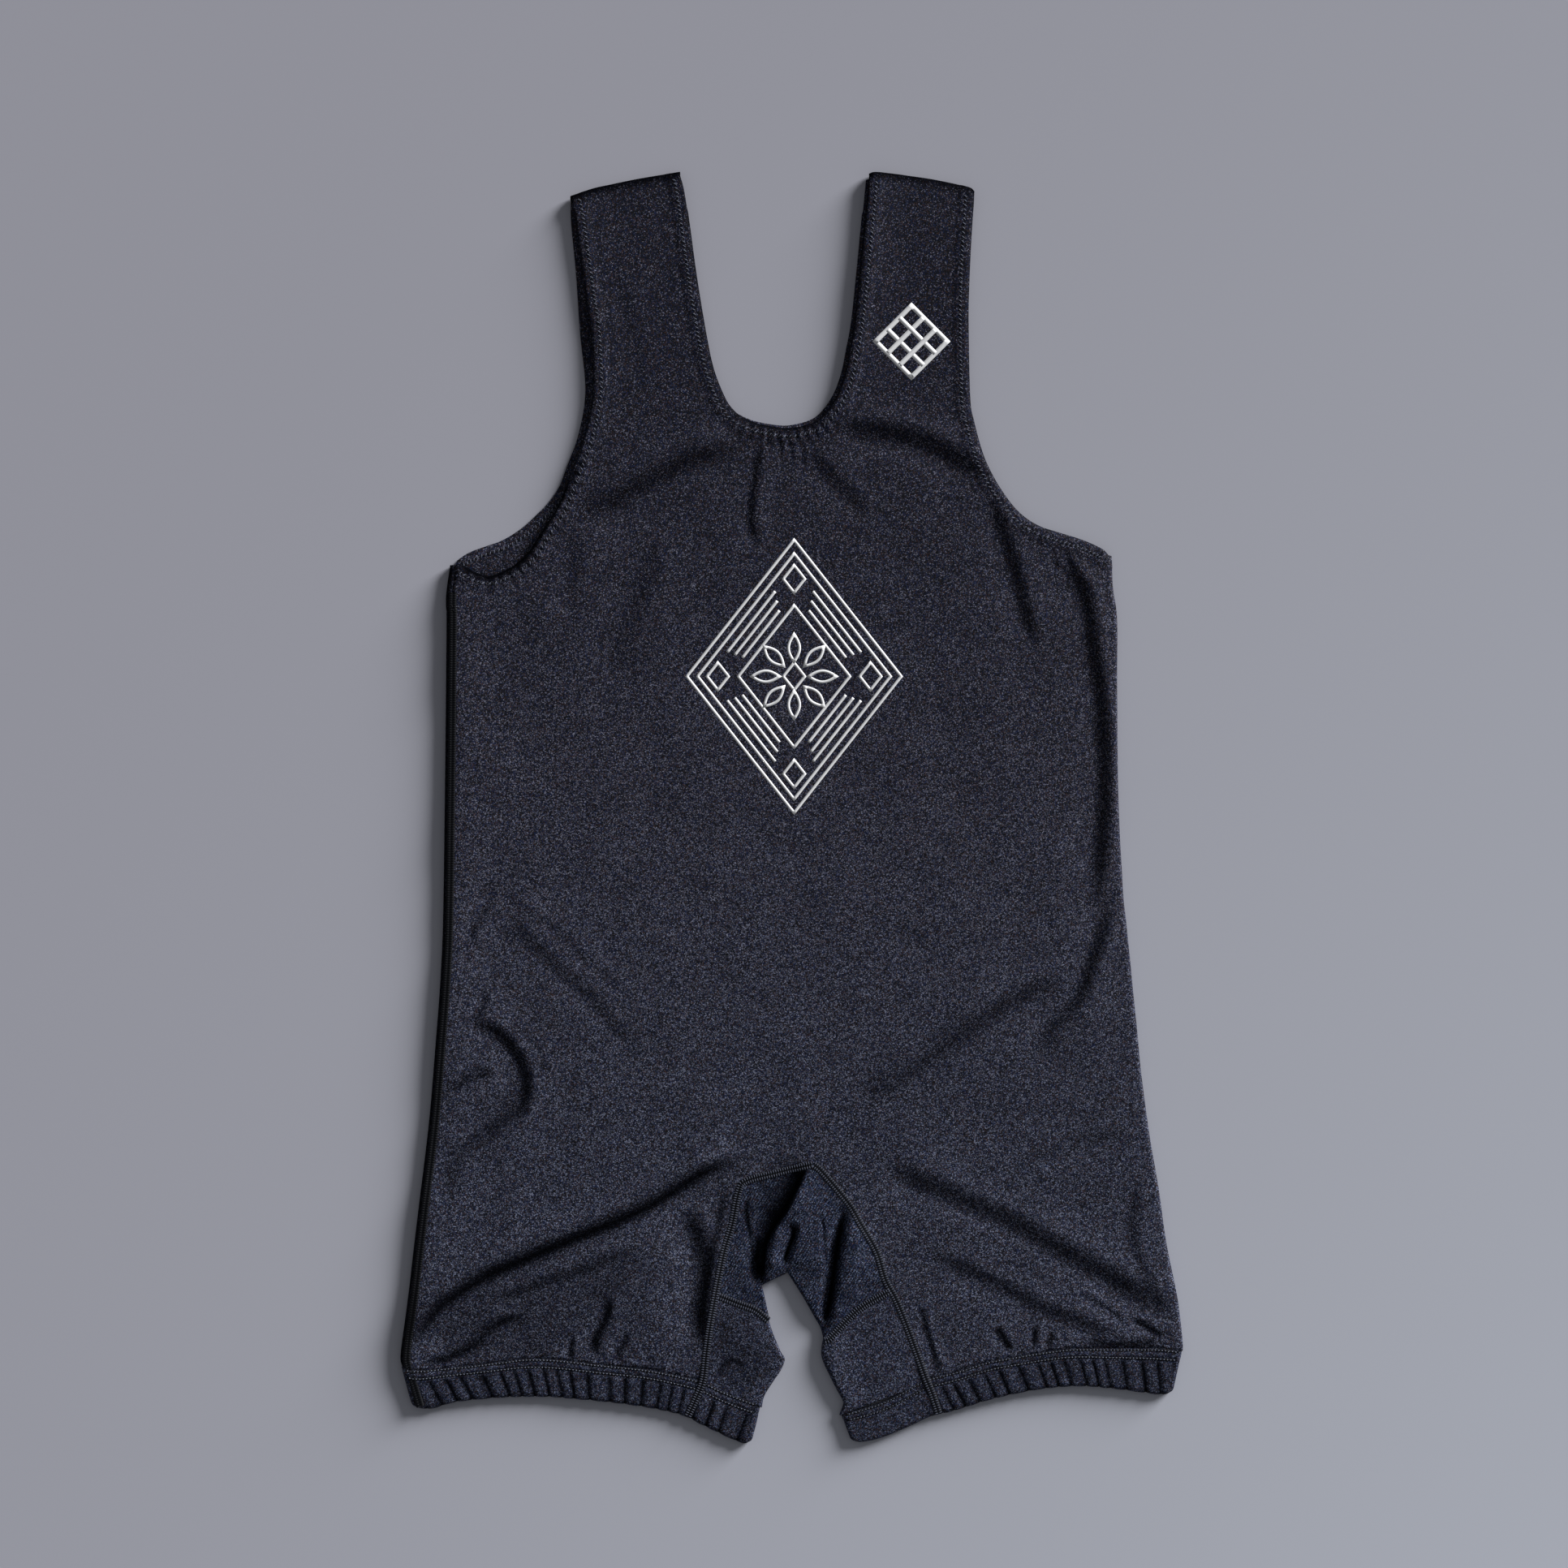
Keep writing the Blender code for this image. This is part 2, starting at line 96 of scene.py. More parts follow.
NECK = ((-69.0, 391.0), (-66.5, 381.3), (-63.0, 357.3), (-59.0, 327.8), (-53.5, 294.3),
        (-48.5, 270.3), (-41.5, 252.3), (-36.0, 244.3), (-30.0, 239.8), (-20.0, 235.8),
        (-4.5, 233.3), (5.0, 234.3), (13.3, 236.8), (18.5, 240.3), (23.5, 246.3),
        (28.5, 255.0), (32.5, 266.8), (34.7, 277.8), (38.3, 297.3), (42.0, 332.3),
        (44.7, 360.3), (47.5, 389.8))
LEFT_ARMHOLE = ((-136.5, 376.0), (-133.4, 360.8), (-127.0, 314.8), (-123.8, 292.3),
                (-122.5, 256.8), (-127.5, 229.8), (-135.8, 206.3), (-144.5, 184.3),
                (-153.0, 171.3), (-160.5, 159.0), (-165.0, 153.8), (-172.0, 148.3),
                (-181.3, 143.8), (-187.5, 142.3), (-195.0, 144.5), (-201.2, 148.0),
                (-206.5, 150.5))
LEFT_ARMHOLE_BACK = ((-136.5, 376.0), (-136.3, 360.3), (-133.3, 328.8), (-130.8, 292.3),
                     (-127.5, 256.8), (-131.8, 229.8), (-139.0, 209.8), (-143.8, 197.3),
                     (-150.7, 187.3), (-156.8, 181.0), (-164.5, 173.8), (-172.0, 168.3),
                     (-179.8, 164.0), (-187.5, 161.3), (-199.5, 156.8), (-208.2, 150.8))
RIGHT_ARMHOLE = ((112.0, 379.5), (111.7, 372.3), (110.0, 346.3), (108.8, 318.3),
                 (108.5, 297.3), (109.5, 252.3), (112.0, 237.3), (117.5, 217.3),
                 (124.0, 203.3), (129.7, 194.0), (135.5, 186.0), (141.3, 180.0),
                 (147.5, 175.5), (154.5, 172.0), (161.5, 169.8), (179.0, 164.3),
                 (191.0, 158.8), (194.7, 155.0))
GUSSET_SEAM = ((-47.5, -302.0), (-45.0, -289.0), (-41.5, -272.0), (-37.0, -257.0),
               (-33.0, -237.0), (-28.5, -230.5), (-9.0, -225.0), (8.0, -220.8), (14.0, -220.3),
               (19.0, -225.5), (34.5, -244.0), (42.0, -256.5), (52.0, -274.0), (57.5, -291.5),
               (60.5, -298.0))
LEFT_INNER_SEAM = ((-47.5, -302.0), (-51.0, -322.0), (-53.0, -337.0), (-55.0, -353.8))
RIGHT_INNER_SEAM = ((60.5, -298.0), (64.0, -303.0), (70.0, -317.8), (77.0, -336.8),
                    (82.5, -352.5))
LEFT_HEM_TOP = ((-240.5, -344.0), (-233.0, -346.5), (-203.5, -344.3), (-178.5, -341.3),
                (-163.0, -339.5), (-142.5, -340.3), (-117.0, -343.3), (-90.5, -346.0),
                (-71.0, -349.8), (-55.0, -353.8))
RIGHT_HEM_TOP = ((240.5, -335.0), (226.5, -333.3), (197.5, -333.3), (173.5, -333.3),
                 (159.5, -334.8), (140.5, -337.8), (120.0, -341.5), (103.5, -346.8),
                 (82.5, -352.5))


def smooth_line(rows, step):
    """Points about `step` apart on a smooth curve through a table's rows."""
    knots = np.array(rows, float)
    padded = np.vstack([2 * knots[0] - knots[1], knots, 2 * knots[-1] - knots[-2]])
    fine = [knots[0]]
    for a, b, c, d in zip(padded, padded[1:], padded[2:], padded[3:]):
        for t in np.linspace(0, 1, 13)[1:]:
            along = (c - a) * t + (2 * a - 5 * b + 4 * c - d) * t ** 2
            fine.append(b + 0.5 * (along + (3 * b - a - 3 * c + d) * t ** 3))
    fine = np.array(fine)
    return spread(fine, max(2, round(length_of(fine) / step) + 1))


def length_of(line):
    return np.linalg.norm(np.diff(line, axis=0), axis=1).sum()


def spread(line, count):
    """A fixed number of points spaced evenly along a line."""
    run = np.concatenate([[0], np.cumsum(np.linalg.norm(np.diff(line, axis=0), axis=1))])
    places = np.linspace(0, run[-1], count)
    return np.column_stack([np.interp(places, run, line[:, k]) for k in range(line.shape[1])])


def smooth_step(value):
    value = np.clip(value, 0, 1)
    return value * value * (3 - 2 * value)


def joined(*lines):
    """Edges end to end: each ends on the first point of the next."""
    lines = [line.copy() for line in lines]
    for before, after in zip(lines, lines[1:] + lines[:1]):
        before[-1] = after[0]
    return lines


def inside(outline, points):
    """Which points lie within a closed outline."""
    hit = np.zeros(len(points), bool)
    for (x0, y0), (x1, y1) in zip(outline, np.roll(outline, -1, axis=0)):
        crosses = (y0 > points[:, 1]) != (y1 > points[:, 1])
        at_x = x0 + (points[:, 1] - y0) * (x1 - x0) / (y1 - y0 if y1 != y0 else 1)
        hit ^= crosses & (points[:, 0] < at_x)
    return hit


def clear_of(outline, points, gap):
    """The points that are at least `gap` from every point of an outline."""
    kept = []
    for start in range(0, len(points), 2000):
        some = points[start:start + 2000]
        away = np.hypot(some[:, None, 0] - outline[:, 0], some[:, None, 1] - outline[:, 1])
        kept.append(some[away.min(axis=1) > gap])
    return np.vstack(kept)


def even_field(outline, step):
    """Points in rows, `step` apart, that fill an outline."""
    low, high = outline.min(axis=0), outline.max(axis=0)
    rows = np.arange(low[1], high[1], step * math.sqrt(3) / 2)
    field = np.array([(x + step / 2 * (k % 2), y)
                      for k, y in enumerate(rows) for x in np.arange(low[0], high[0], step)])
    return field[inside(outline, field)]


def flat_sheet(edges, field, level):
    """Corners and faces of a sheet in an outline, and which corners lie on each edge."""
    outline = np.vstack([edge[:-1] for edge in edges])
    count = len(outline)
    points = np.vstack([outline, field])
    loop = [(k, (k + 1) % count) for k in range(count)]
    flat, _sides, faces, origins, *_rest = delaunay_2d_cdt(
        [Vector(point) for point in points], loop, [], 0, 1e-6, True)
    placed = np.array([tuple(point) for point in flat])
    within = inside(outline, placed[np.array(faces)].mean(axis=1))
    faces = [tuple(face) for face, kept in zip(faces, within) if kept]
    corners = np.column_stack([placed, level(placed)])
    at = {source: k for k, sources in enumerate(origins) for source in sources}
    on_edges, start = [], 0
    for edge in edges:
        on_edges.append([at[k % count] for k in range(start, start + len(edge))])
        start += len(edge) - 1
    return corners, faces, on_edges


def half_circle(drop):
    """Steps round a turn that climbs or falls by `drop`, as (outwards, upwards)."""
    angles = np.linspace(0, math.pi, TURN_STEPS + 1)[1:]
    outwards = min(abs(drop) / 2, TURN_OUT) * np.sin(angles)
    return np.column_stack([outwards, drop / 2 * (1 - np.cos(angles))])


def turn_edge(corners, faces, edge, outward, levels, back_in):
    """Carry a sheet's edge round a turn to new levels, and `back_in` over the sheet."""
    base = corners[edge]
    paths = np.array([half_circle(level - z) for level, z in zip(levels, base[:, 2])])
    flat_end = np.column_stack([np.full(len(base), -float(back_in)), paths[:, -1, 1]])
    middle = np.column_stack([flat_end[:, 0] / 2, flat_end[:, 1]])
    rings = [list(edge)]
    for step in [*paths.transpose(1, 0, 2), middle, flat_end]:
        ring = base + np.column_stack([outward * step[:, :1], step[:, 1]])
        rings.append(list(range(len(corners), len(corners) + len(ring))))
        corners = np.vstack([corners, ring])
    for ring, after in zip(rings, rings[1:]):
        faces += [(b, a, d, c) for a, b, c, d in zip(ring, ring[1:], after[1:], after)]
    return corners, faces


def make_piece(name, corners, faces, material, wall=0.0, offset=0.0, shade_share=None):
    """A smooth-shaded object from corners in millimetres, with a wall if it has one, and with a
    per-corner share of painted shade if one is given.
    """
    mesh = bpy.data.meshes.new(name)
    mesh.from_pydata(((np.asarray(corners) + MIDDLE) * MM).tolist(), [], faces)
    mesh.validate()
    mesh.materials.append(material)
    mesh.shade_smooth()
    if shade_share is not None:
        stored = mesh.attributes.new("painted_shade", "FLOAT", "POINT")
        stored.data.foreach_set("value", np.clip(shade_share, 0.0, 1.0).astype(np.float32))
    piece = bpy.data.objects.new(name, mesh)
    bpy.context.scene.collection.objects.link(piece)
    if wall:
        shell = piece.modifiers.new("Wall", "SOLIDIFY")
        shell.thickness = wall * MM
        shell.offset = offset
    return piece


KNIT_DARK = (0.003, 0.0035, 0.006, 1.0)
KNIT_LIGHT = (0.205, 0.211, 0.284, 1.0)
KNIT_LOW = (0.222, 0.248, 0.352, 1.0)
KNIT_BLUE = (0.010, 0.020, 0.075, 1.0)
KNIT_WARM = (0.070, 0.035, 0.028, 1.0)
# Painted shade: the near-black colour the knit is darkened to in creases, at turned edges and in
# hollows.
PAINTED_SHADE_COLOUR = (0.0015, 0.0016, 0.0025, 1.0)
STITCHES_A_METRE = 1900.0
RIBS_A_METRE = 200.0
# Painted light: a falloff over the garment, darker towards the shoulders and paler and bluer on
# the legs, from KNIT_LIGHT to KNIT_LOW.
PALE_FROM = (0.25, 0.66)  # chance above which a stitch is pale: up to the waist, at the top
FEWER_BETWEEN = (-0.04, 0.30)  # metres up the garment over which that changes
LOW_BETWEEN = (0.02, -0.24)  # metres up over which KNIT_LIGHT becomes KNIT_LOW


class Nodes:
    """Adds nodes to a material and links them, each placed right of the one before."""

    def __init__(self, name):
        self.material = bpy.data.materials.new(name)
        self.material.use_nodes = True
        self.tree = self.material.node_tree
        self.shader = self.tree.nodes["Principled BSDF"]
        self.across = -1800

    def add(self, kind, links=(), **values):
        """The outputs of a new node, whose sockets take links or constants."""
        node = self.tree.nodes.new(kind)
        node.location = (self.across, 0)
        self.across += 40
        for key, value in values.items():
            setattr(node, key, value)
        for socket, source in links:
            if isinstance(source, bpy.types.NodeSocket):
                self.tree.links.new(source, node.inputs[socket])
            else:
                node.inputs[socket].default_value = source
        return node.outputs

    def place(self):
        """Where a point lies on the object."""
        return self.add("ShaderNodeTexCoord")["Object"]

    def mix(self, share, first, second, **values):
        """A colour between two others."""
        links = [(0, share), (6, first), (7, second)]
        return self.add("ShaderNodeMix", links, data_type="RGBA", **values)[2]

    def ramp(self, value, start=0.0, end=1.0, low=0.0, high=1.0):
        """`low` where the value is `start`, `high` where it is `end`."""
        links = [("Value", value), ("From Min", start), ("From Max", end),
                 ("To Min", low), ("To Max", high)]
        return self.add("ShaderNodeMapRange", links)[0]

    def work_out(self, operation, *values):
        """The result of one operation on one to three values."""
        return self.add("ShaderNodeMath", enumerate(values), operation=operation)[0]

    def link(self, source, socket):
        self.tree.links.new(source, self.shader.inputs[socket])

    def bump(self, height, strength, deep):
        """Fine relief in the surface, `deep` metres from its lowest to its highest."""
        links = [("Height", height), ("Strength", strength), ("Distance", deep)]
        self.link(self.add("ShaderNodeBump", links)["Normal"], "Normal")


def knit_material(name, dark, light, rib_turn=None, painted_falloff=True, gloss=0.12):
    """Heathered stretch knit: each stitch a little paler, bluer or warmer than the next.

    With the painted falloff on, fewer stitches are pale towards the shoulders, and they are paler
    and bluer on the legs: painted light, darker at the top and brighter lower down.
    Where shade is painted on a piece the colour goes towards near black, and its gloss and sheen
    fall away with it.
    """
    made = Nodes(name)
    place = made.place()
    stitch = made.add("ShaderNodeTexVoronoi", [("Vector", place), ("Scale", STITCHES_A_METRE),
                                               ("Randomness", 0.9)])
    chance = made.add("ShaderNodeSeparateColor", [(0, stitch["Color"])])
    fewest = PALE_FROM[0]
    if painted_falloff:
        # Painted falloff of light from the shoulders down to the legs.
        height = made.add("ShaderNodeSeparateXYZ", [("Vector", place)])[1]
        fewest = made.ramp(height, *FEWER_BETWEEN, *PALE_FROM)
        light = made.mix(made.ramp(height, *LOW_BETWEEN), light, KNIT_LOW)
    pale = made.work_out("POWER", made.ramp(chance[0], fewest), 3.2)
    body = made.mix(pale, dark, light)
    blue = made.ramp(chance[1], 0.60, high=0.75)
    warm = made.ramp(chance[2], 0.78, high=0.60)
    body = made.mix(blue, body, KNIT_BLUE)
    body = made.mix(warm, body, KNIT_WARM)
    relief_of = made.work_out("SUBTRACT", 1.0, stitch["Distance"])
    if rib_turn is not None:
        turned = made.add("ShaderNodeMapping", [("Vector", place),
                                                ("Rotation", (0.0, 0.0, rib_turn))])[0]
        rib = made.add("ShaderNodeTexWave", [("Vector", turned), ("Scale", RIBS_A_METRE),
                                             ("Distortion", 1.2), ("Detail", 1.0)])[0]
        body = made.mix(0.45, body, rib, blend_type="OVERLAY")
        relief_of = made.work_out("ADD", relief_of, rib)
    # Painted shade: the stored per-corner share darkens the colour and takes away gloss and sheen.
    shade_share = made.add("ShaderNodeAttribute", attribute_name="painted_shade")["Fac"]
    made.link(made.mix(shade_share, body, PAINTED_SHADE_COLOUR), "Base Color")
    made.link(made.ramp(chance[1], low=0.55, high=0.75), "Roughness")
    made.bump(relief_of, 0.40, 0.0002)
    made.link(made.work_out("MULTIPLY_ADD", shade_share, -gloss, gloss), "Specular IOR Level")
    made.link(made.work_out("MULTIPLY_ADD", shade_share, -gloss / 2, gloss / 2), "Sheen Weight")
    made.shader.inputs["Sheen Roughness"].default_value = 0.45
    made.shader.inputs["Sheen Tint"].default_value = (0.62, 0.66, 0.85, 1.0)
    return made.material


body_knit = knit_material("body_knit", KNIT_DARK, KNIT_LIGHT)


def shoulder_lowered(line, drop):
    """An opening's edge, lowered where it meets the top of a strap."""
    line = line.copy()
    line[:, 1] -= drop * smooth_step((line[:, 1] - SHOULDERS_FROM) / SHOULDERS_EASE)
    return line


def moved(rows, aside, up=0.0):
    """An edge of the back or the front, moved to the right and up."""
    return smooth_line(rows, EDGE_STEP) + np.array([aside, up])


# The lie of the cloth, which the back's left side rises to. One relief runs over the whole
# front, because every panel there is sewn to the next: an even level, soft creases where the
# knit has slackened, and swells between them. The back lies flat below it.
BODY_LEVEL = 4.6  # middle of the front's wall where nothing lifts or lowers it
LOWEST_FRONT = 1.4  # where the front lies on the back
STRAPS_FROM = 120.0  # from here up to the next the waves weaken
STRAPS_TO = 235.0
WAVES_LOST = 0.6  # share of the waves that is gone on the straps
SOFT_STOP = 0.12  # how softly the front comes down on the back
SPENT = 2.4  # a crease or a swell is nothing beyond this many times its reach
NARROWS = 0.45  # share of a crease's width that is gone at its ends
FADE = 0.22  # share of a crease's length over which it dies away at each end
FADE_LONGEST = 32.0  # but no longer than this
ROUTE_STEP = 3.0
UNDERSIDE = 1.2  # cloth whose middle is below this is on the underside and gets no painted shade

# Creases. The cloth stands higher on the left of each route's travel and drops across it.
# Columns: route, half width of the drop, drop, share that stands above the level around, how far
# the higher side reaches, how far the lower side reaches, how much shade is painted along its
# trough.
CREASES = (
    # chest and straps
    (((-128, 175), (-103, 194), (-70, 211), (-33, 227)), 9.0, 5.6, 0.5, 14, 20, 0.52),
    (((24, 234), (45, 233), (62, 231), (86, 224), (112, 209), (121, 202)),
     9.5, 4.8, 0.5, 12, 22, 0.46),
    (((11, 222), (26, 202), (50, 180)), 7.0, 1.6, 0.5, 12, 12, 0.34),
    (((-18, 228), (-23, 200), (-25, 178), (-20, 157)), 3.6, 2.2, 0.5, 8, 8, 0.45),
    (((-6.5, 229), (-6, 213)), 1.2, 0.8, 0.5, 3, 3, 0.60),
    (((0.5, 227), (1, 212)), 1.2, 0.7, 0.5, 3, 3, 0.55),
    (((7, 227), (8, 210)), 1.3, 0.8, 0.5, 3, 3, 0.60),
    (((-13, 229), (-14, 218)), 1.0, 0.5, 0.5, 3, 3, 0.25),
    (((122, 192), (132, 165), (139, 142), (145, 117), (152, 96)), 6.0, 3.0, 0.5, 12, 12, 0.40),
    (((164, 160), (181, 131), (186, 97), (191, 64), (193, 14), (190, -36), (185, -62)),
     6.5, 4.2, 0.55, 10, 16, 0.50),
    (((161, 160), (164, 146)), 1.2, 0.9, 0.5, 3, 3, 0.35),
    (((169, 159), (174, 145)), 1.2, 0.9, 0.5, 3, 3, 0.35),
    (((-81, 168), (-96, 120), (-115, 81)), 8.0, 2.0, 0.5, 20, 20, 0.10),
    (((-133, 177), (-134, 114)), 7.0, 1.6, 0.5, 14, 14, 0.00),
    (((-108, 330), (-97, 297), (-92, 262)), 7.0, 0.8, 0.5, 12, 12, 0.00),
    # left waist and hip
    (((-180, -50), (-192, -68), (-199, -86)), 4.0, 2.2, 0.5, 9, 9, 0.20),
    (((-184, -50), (-178, -54), (-148, -73), (-121, -99), (-92, -123)),
     4.5, 1.0, 0.5, 10, 9, 0.10),
    (((-178, -66), (-151, -93), (-121, -119), (-108, -136), (-86, -156)),
     6.5, 1.2, 0.5, 9, 12, 0.16),
    (((-203, -131), (-182, -138), (-168, -154), (-163, -172), (-168, -189), (-188, -198),
      (-206, -208)), 5.5, 3.8, 0.5, 10, 11, 0.62),
    (((-187, -112), (-190, -124), (-197, -134)), 4.0, 1.2, 0.5, 7, 7, 0.42),
    (((-176, -131), (-158, -146), (-151, -166)), 4.0, 0.7, 0.5, 8, 6, 0.15),
    (((-213, -177), (-194, -164), (-180, -166)), 4.5, 1.5, 0.5, 8, 7, 0.50),
    # left leg
    (((-237, -345), (-232, -329), (-221, -311), (-209, -301), (-190, -289), (-165, -278),
      (-139, -267), (-112, -256), (-93, -247.5), (-73, -236), (-52, -223), (-28, -213)),
     6.5, 7.4, 0.60, 13, 14, 0.93),
    (((-192, -307), (-155, -293), (-124, -283), (-97, -270)), 4.8, 2.8, 0.5, 9, 9, 0.34),
    (((-65, -243), (-54, -274), (-55, -300), (-59, -334)), 8.5, 4.8, 0.5, 9, 14, 0.60),
    (((-39, -228), (-46, -262), (-53, -300), (-56, -338)), 4.2, 1.6, 0.5, 4, 6, 0.64),
    (((-232, -344), (-213, -339), (-195, -330), (-182, -318), (-162, -311)),
     4.4, 3.6, 0.5, 6, 7, 0.80),
    (((-111, -300), (-114, -315), (-120, -327), (-122, -339)), 4.0, 3.8, 0.5, 6, 8, 0.78),
    (((-134, -326), (-135.5, -333), (-136, -340)), 2.2, 2.0, 0.5, 4, 4, 0.80),
    (((-99, -325), (-104, -332), (-109, -339)), 3.0, 2.4, 0.5, 4, 5, 0.65),
    (((-160, -176), (-184, -196), (-206, -216), (-212, -248)), 9.0, 2.6, 0.5, 12, 14, 0.26),
    (((-153, -337), (-166, -337.5), (-181, -340)), 2.0, 1.4, 0.5, 4, 4, 0.42),
    # right hip and leg
    (((199, -56), (186, -93), (177, -118), (160, -136), (144, -150)), 6.0, 4.0, 0.5, 12, 12, 0.48),
    (((45, -190), (65, -170), (95, -146), (135, -119), (170, -102)), 8.5, 4.8, 0.5, 14, 14, 0.45),
    (((145, -219), (178, -206), (209, -199)), 5.0, 1.6, 0.5, 10, 10, 0.12),
    (((215, -224), (211, -267), (232, -314)), 5.0, 1.6, 0.5, 9, 9, 0.12),
    (((54, -220), (85, -232), (110, -243), (134, -254), (154, -265), (175, -277), (197, -289),
      (219, -302), (237, -313)), 9.5, 4.2, 0.5, 13, 17, 0.46),
    (((80, -271), (102, -282), (128, -293), (149, -305), (171, -314), (192, -322),
      (208, -328)), 7.0, 2.4, 0.5, 9, 12, 0.45),
    (((176, -298), (192, -307), (207, -317)), 2.2, 1.2, 0.5, 4, 6, 0.34),
    (((210, -314), (218, -319), (230, -326)), 1.9, 2.2, 0.5, 5, 5, 0.65),
    (((126, -319), (130, -326), (136, -335)), 3.0, 2.6, 0.5, 4, 5, 0.80),
    (((151, -320), (149, -332)), 2.6, 2.2, 0.5, 4, 5, 0.80),
    (((161.5, -322), (157.5, -334)), 2.2, 1.9, 0.5, 4, 4, 0.75),
    (((178, -329), (205, -330.5), (230, -329)), 3.8, 1.6, 0.5, 4, 4, 0.70),
    (((79, -304), (83, -320), (87, -334), (92.5, -351)), 1.7, 1.5, 0.5, 4, 6, 0.60),
    # gusset
    (((11, -219), (3, -235), (-4, -249), (-10, -258), (-14, -266), (-16.5, -275), (-18, -296)),
     1.9, 5.0, 0.6, 9, 9, 0.85),
    (((-24, -236), (-28, -247), (-25, -268), (-21, -299)), 2.0, 1.6, 0.5, 7, 3, 0.30),
    (((-1, -254), (1, -263), (-2.5, -273), (-5.5, -281)), 1.3, 3.6, 0.5, 6, 2.5, 0.85),
    (((34, -246), (31, -256), (28, -270), (26, -285), (24, -300), (19, -322)),
     2.6, 5.0, 0.6, 11, 5, 0.85),
    (((19, -248), (20.5, -266), (21.5, -284)), 0.9, 0.6, 0.5, 3, 3, 0.50),
)

# Swells, which rise and fall evenly. Columns: route, half width, rise.
SWELLS = (
    (((-114, 177), (-31, 217)), 14, 0.8),
    (((18, 222), (52, 216), (115, 194)), 12, 0.8),
    (((-178, -58), (-130, -98), (-100, -128)), 8, 0.7),
    (((-176, -166), (-200, -188), (-211, -214)), 9, 1.4),
    (((-225, -328), (-160, -290), (-108, -268), (-62, -244)), 12, 1.0),
    (((152, -119), (100, -160), (52, -199)), 10, 0.7),
    (((72, -238), (140, -272), (200, -306)), 10, 0.8),
    (((4, -232), (10, -262), (12, -292)), 9, 1.4),
    (((-5, -259), (-10, -268), (-13, -286)), 3.2, 2.0),
    (((44, -276), (48, -296)), 9, 1.0),
    # the gusset's pockets and the valley beside them
    (((2, -226), (-4, -243), (8, -262), (14, -290)), 14, 0.9),
    (((6, -221), (-1, -234), (-9, -245), (-16, -255), (-21, -267), (-22, -280), (-20, -300)),
     4.6, -4.4),
    (((2, -255), (1.5, -263), (-1.5, -272), (-5, -283)), 1.9, -3.6),
    (((33, -243), (30, -258), (27.5, -270), (25.5, -284), (23, -299), (19, -328)), 3.6, -4.2),
    (((37, -258), (39, -284), (33, -308)), 7, 1.7),
    # edges that stand up a little: left side, the straps' left edges, inside of the right leg
    (((-208, 175), (-209, 105), (-211, -53), (-216, -147), (-227, -260), (-240, -372)), 20, 1.7),
    (((12, 222), (24, 242), (34, 266), (40, 297), (45, 332), (52, 420)), 14, 1.8),
    (((-172, 150), (-150, 180), (-130, 230), (-120, 292), (-126, 330), (-137, 420)), 14, 0.8),
    (((2, -284), (20, -316), (24, -345), (40, -380)), 9, 1.6),
)

# Slight unevenness all over, as waves. Columns: wavelength, direction, phase, height.
WAVES = ((61, 0.3, 0.2, 0.16), (47, 1.4, 2.1, 0.13), (83, 2.3, 4.0, 0.20),
         (35, 2.9, 1.1, 0.07), (29, 0.9, 3.3, 0.05), (110, 1.9, 5.2, 0.22))

known_lines = {}  # the smooth line of each route, made once


def across(route, points, reach):
    """Which points lie near a route, how far to its left, and how far along it, 0 to 1."""
    if route not in known_lines:
        known_lines[route] = smooth_line(route, ROUTE_STEP)
    line = known_lines[route]
    near = np.all((points > line.min(axis=0) - reach) & (points < line.max(axis=0) + reach),
                  axis=1)
    spots = points[near]
    best = np.full(len(spots), np.inf)
    left = np.zeros(len(spots))
    place = np.zeros(len(spots))
    for k, (start, end) in enumerate(zip(line, line[1:])):
        side = end - start
        share = np.clip(((spots - start) @ side) / (side @ side), 0, 1)
        gap = spots - start - share[:, None] * side
        away = np.hypot(gap[:, 0], gap[:, 1])
        closer = away < best
        turn = side[0] * gap[:, 1] - side[1] * gap[:, 0]
        best[closer] = away[closer]
        left[closer] = np.where(turn[closer] >= 0, away[closer], -away[closer])
        place[closer] = (k + share[closer]) / (len(line) - 1)
    return near, left, place


def dying_away(route, place):
    """1 along a route, and down to 0 at its ends."""
    longest = FADE_LONGEST / length_of(known_lines[route])
    return smooth_step(np.minimum(place, 1 - place) / min(FADE, longest))


def relief(points):
    """Height of the middle of the front's wall above the surface that it lies on."""
    on_straps = smooth_step((points[:, 1] - STRAPS_FROM) / (STRAPS_TO - STRAPS_FROM))
    level = np.full(len(points), BODY_LEVEL)
    for length, direction, phase, height in WAVES:
        run = points[:, 0] * math.cos(direction) + points[:, 1] * math.sin(direction)
        wave = np.sin(2 * math.pi * run / length + phase)
        level = level + height * (1 - WAVES_LOST * on_straps) * wave
    for route, half, drop, above, high_reach, low_reach, _shade in CREASES:
        near, left, place = across(route, points, SPENT * max(high_reach, low_reach))
        fade = dying_away(route, place)
        width = half * (1 - NARROWS + NARROWS * fade)
        step = smooth_step((left / width + 1) / 2)
        high = above * np.exp(-(np.maximum(left, 0) / high_reach) ** 2) * step
        low = (1 - above) * np.exp(-(np.minimum(left, 0) / low_reach) ** 2) * (1 - step)
        level[near] += drop * fade * (high - low)
    for route, half, rise in SWELLS:
        near, left, place = across(route, points, SPENT * half)
        fade = dying_away(route, place)
        level[near] += rise * fade * np.exp(-(left / half) ** 2)
    spare = level - LOWEST_FRONT
    return LOWEST_FRONT + 0.5 * (spare + np.sqrt(spare ** 2 + SOFT_STOP))
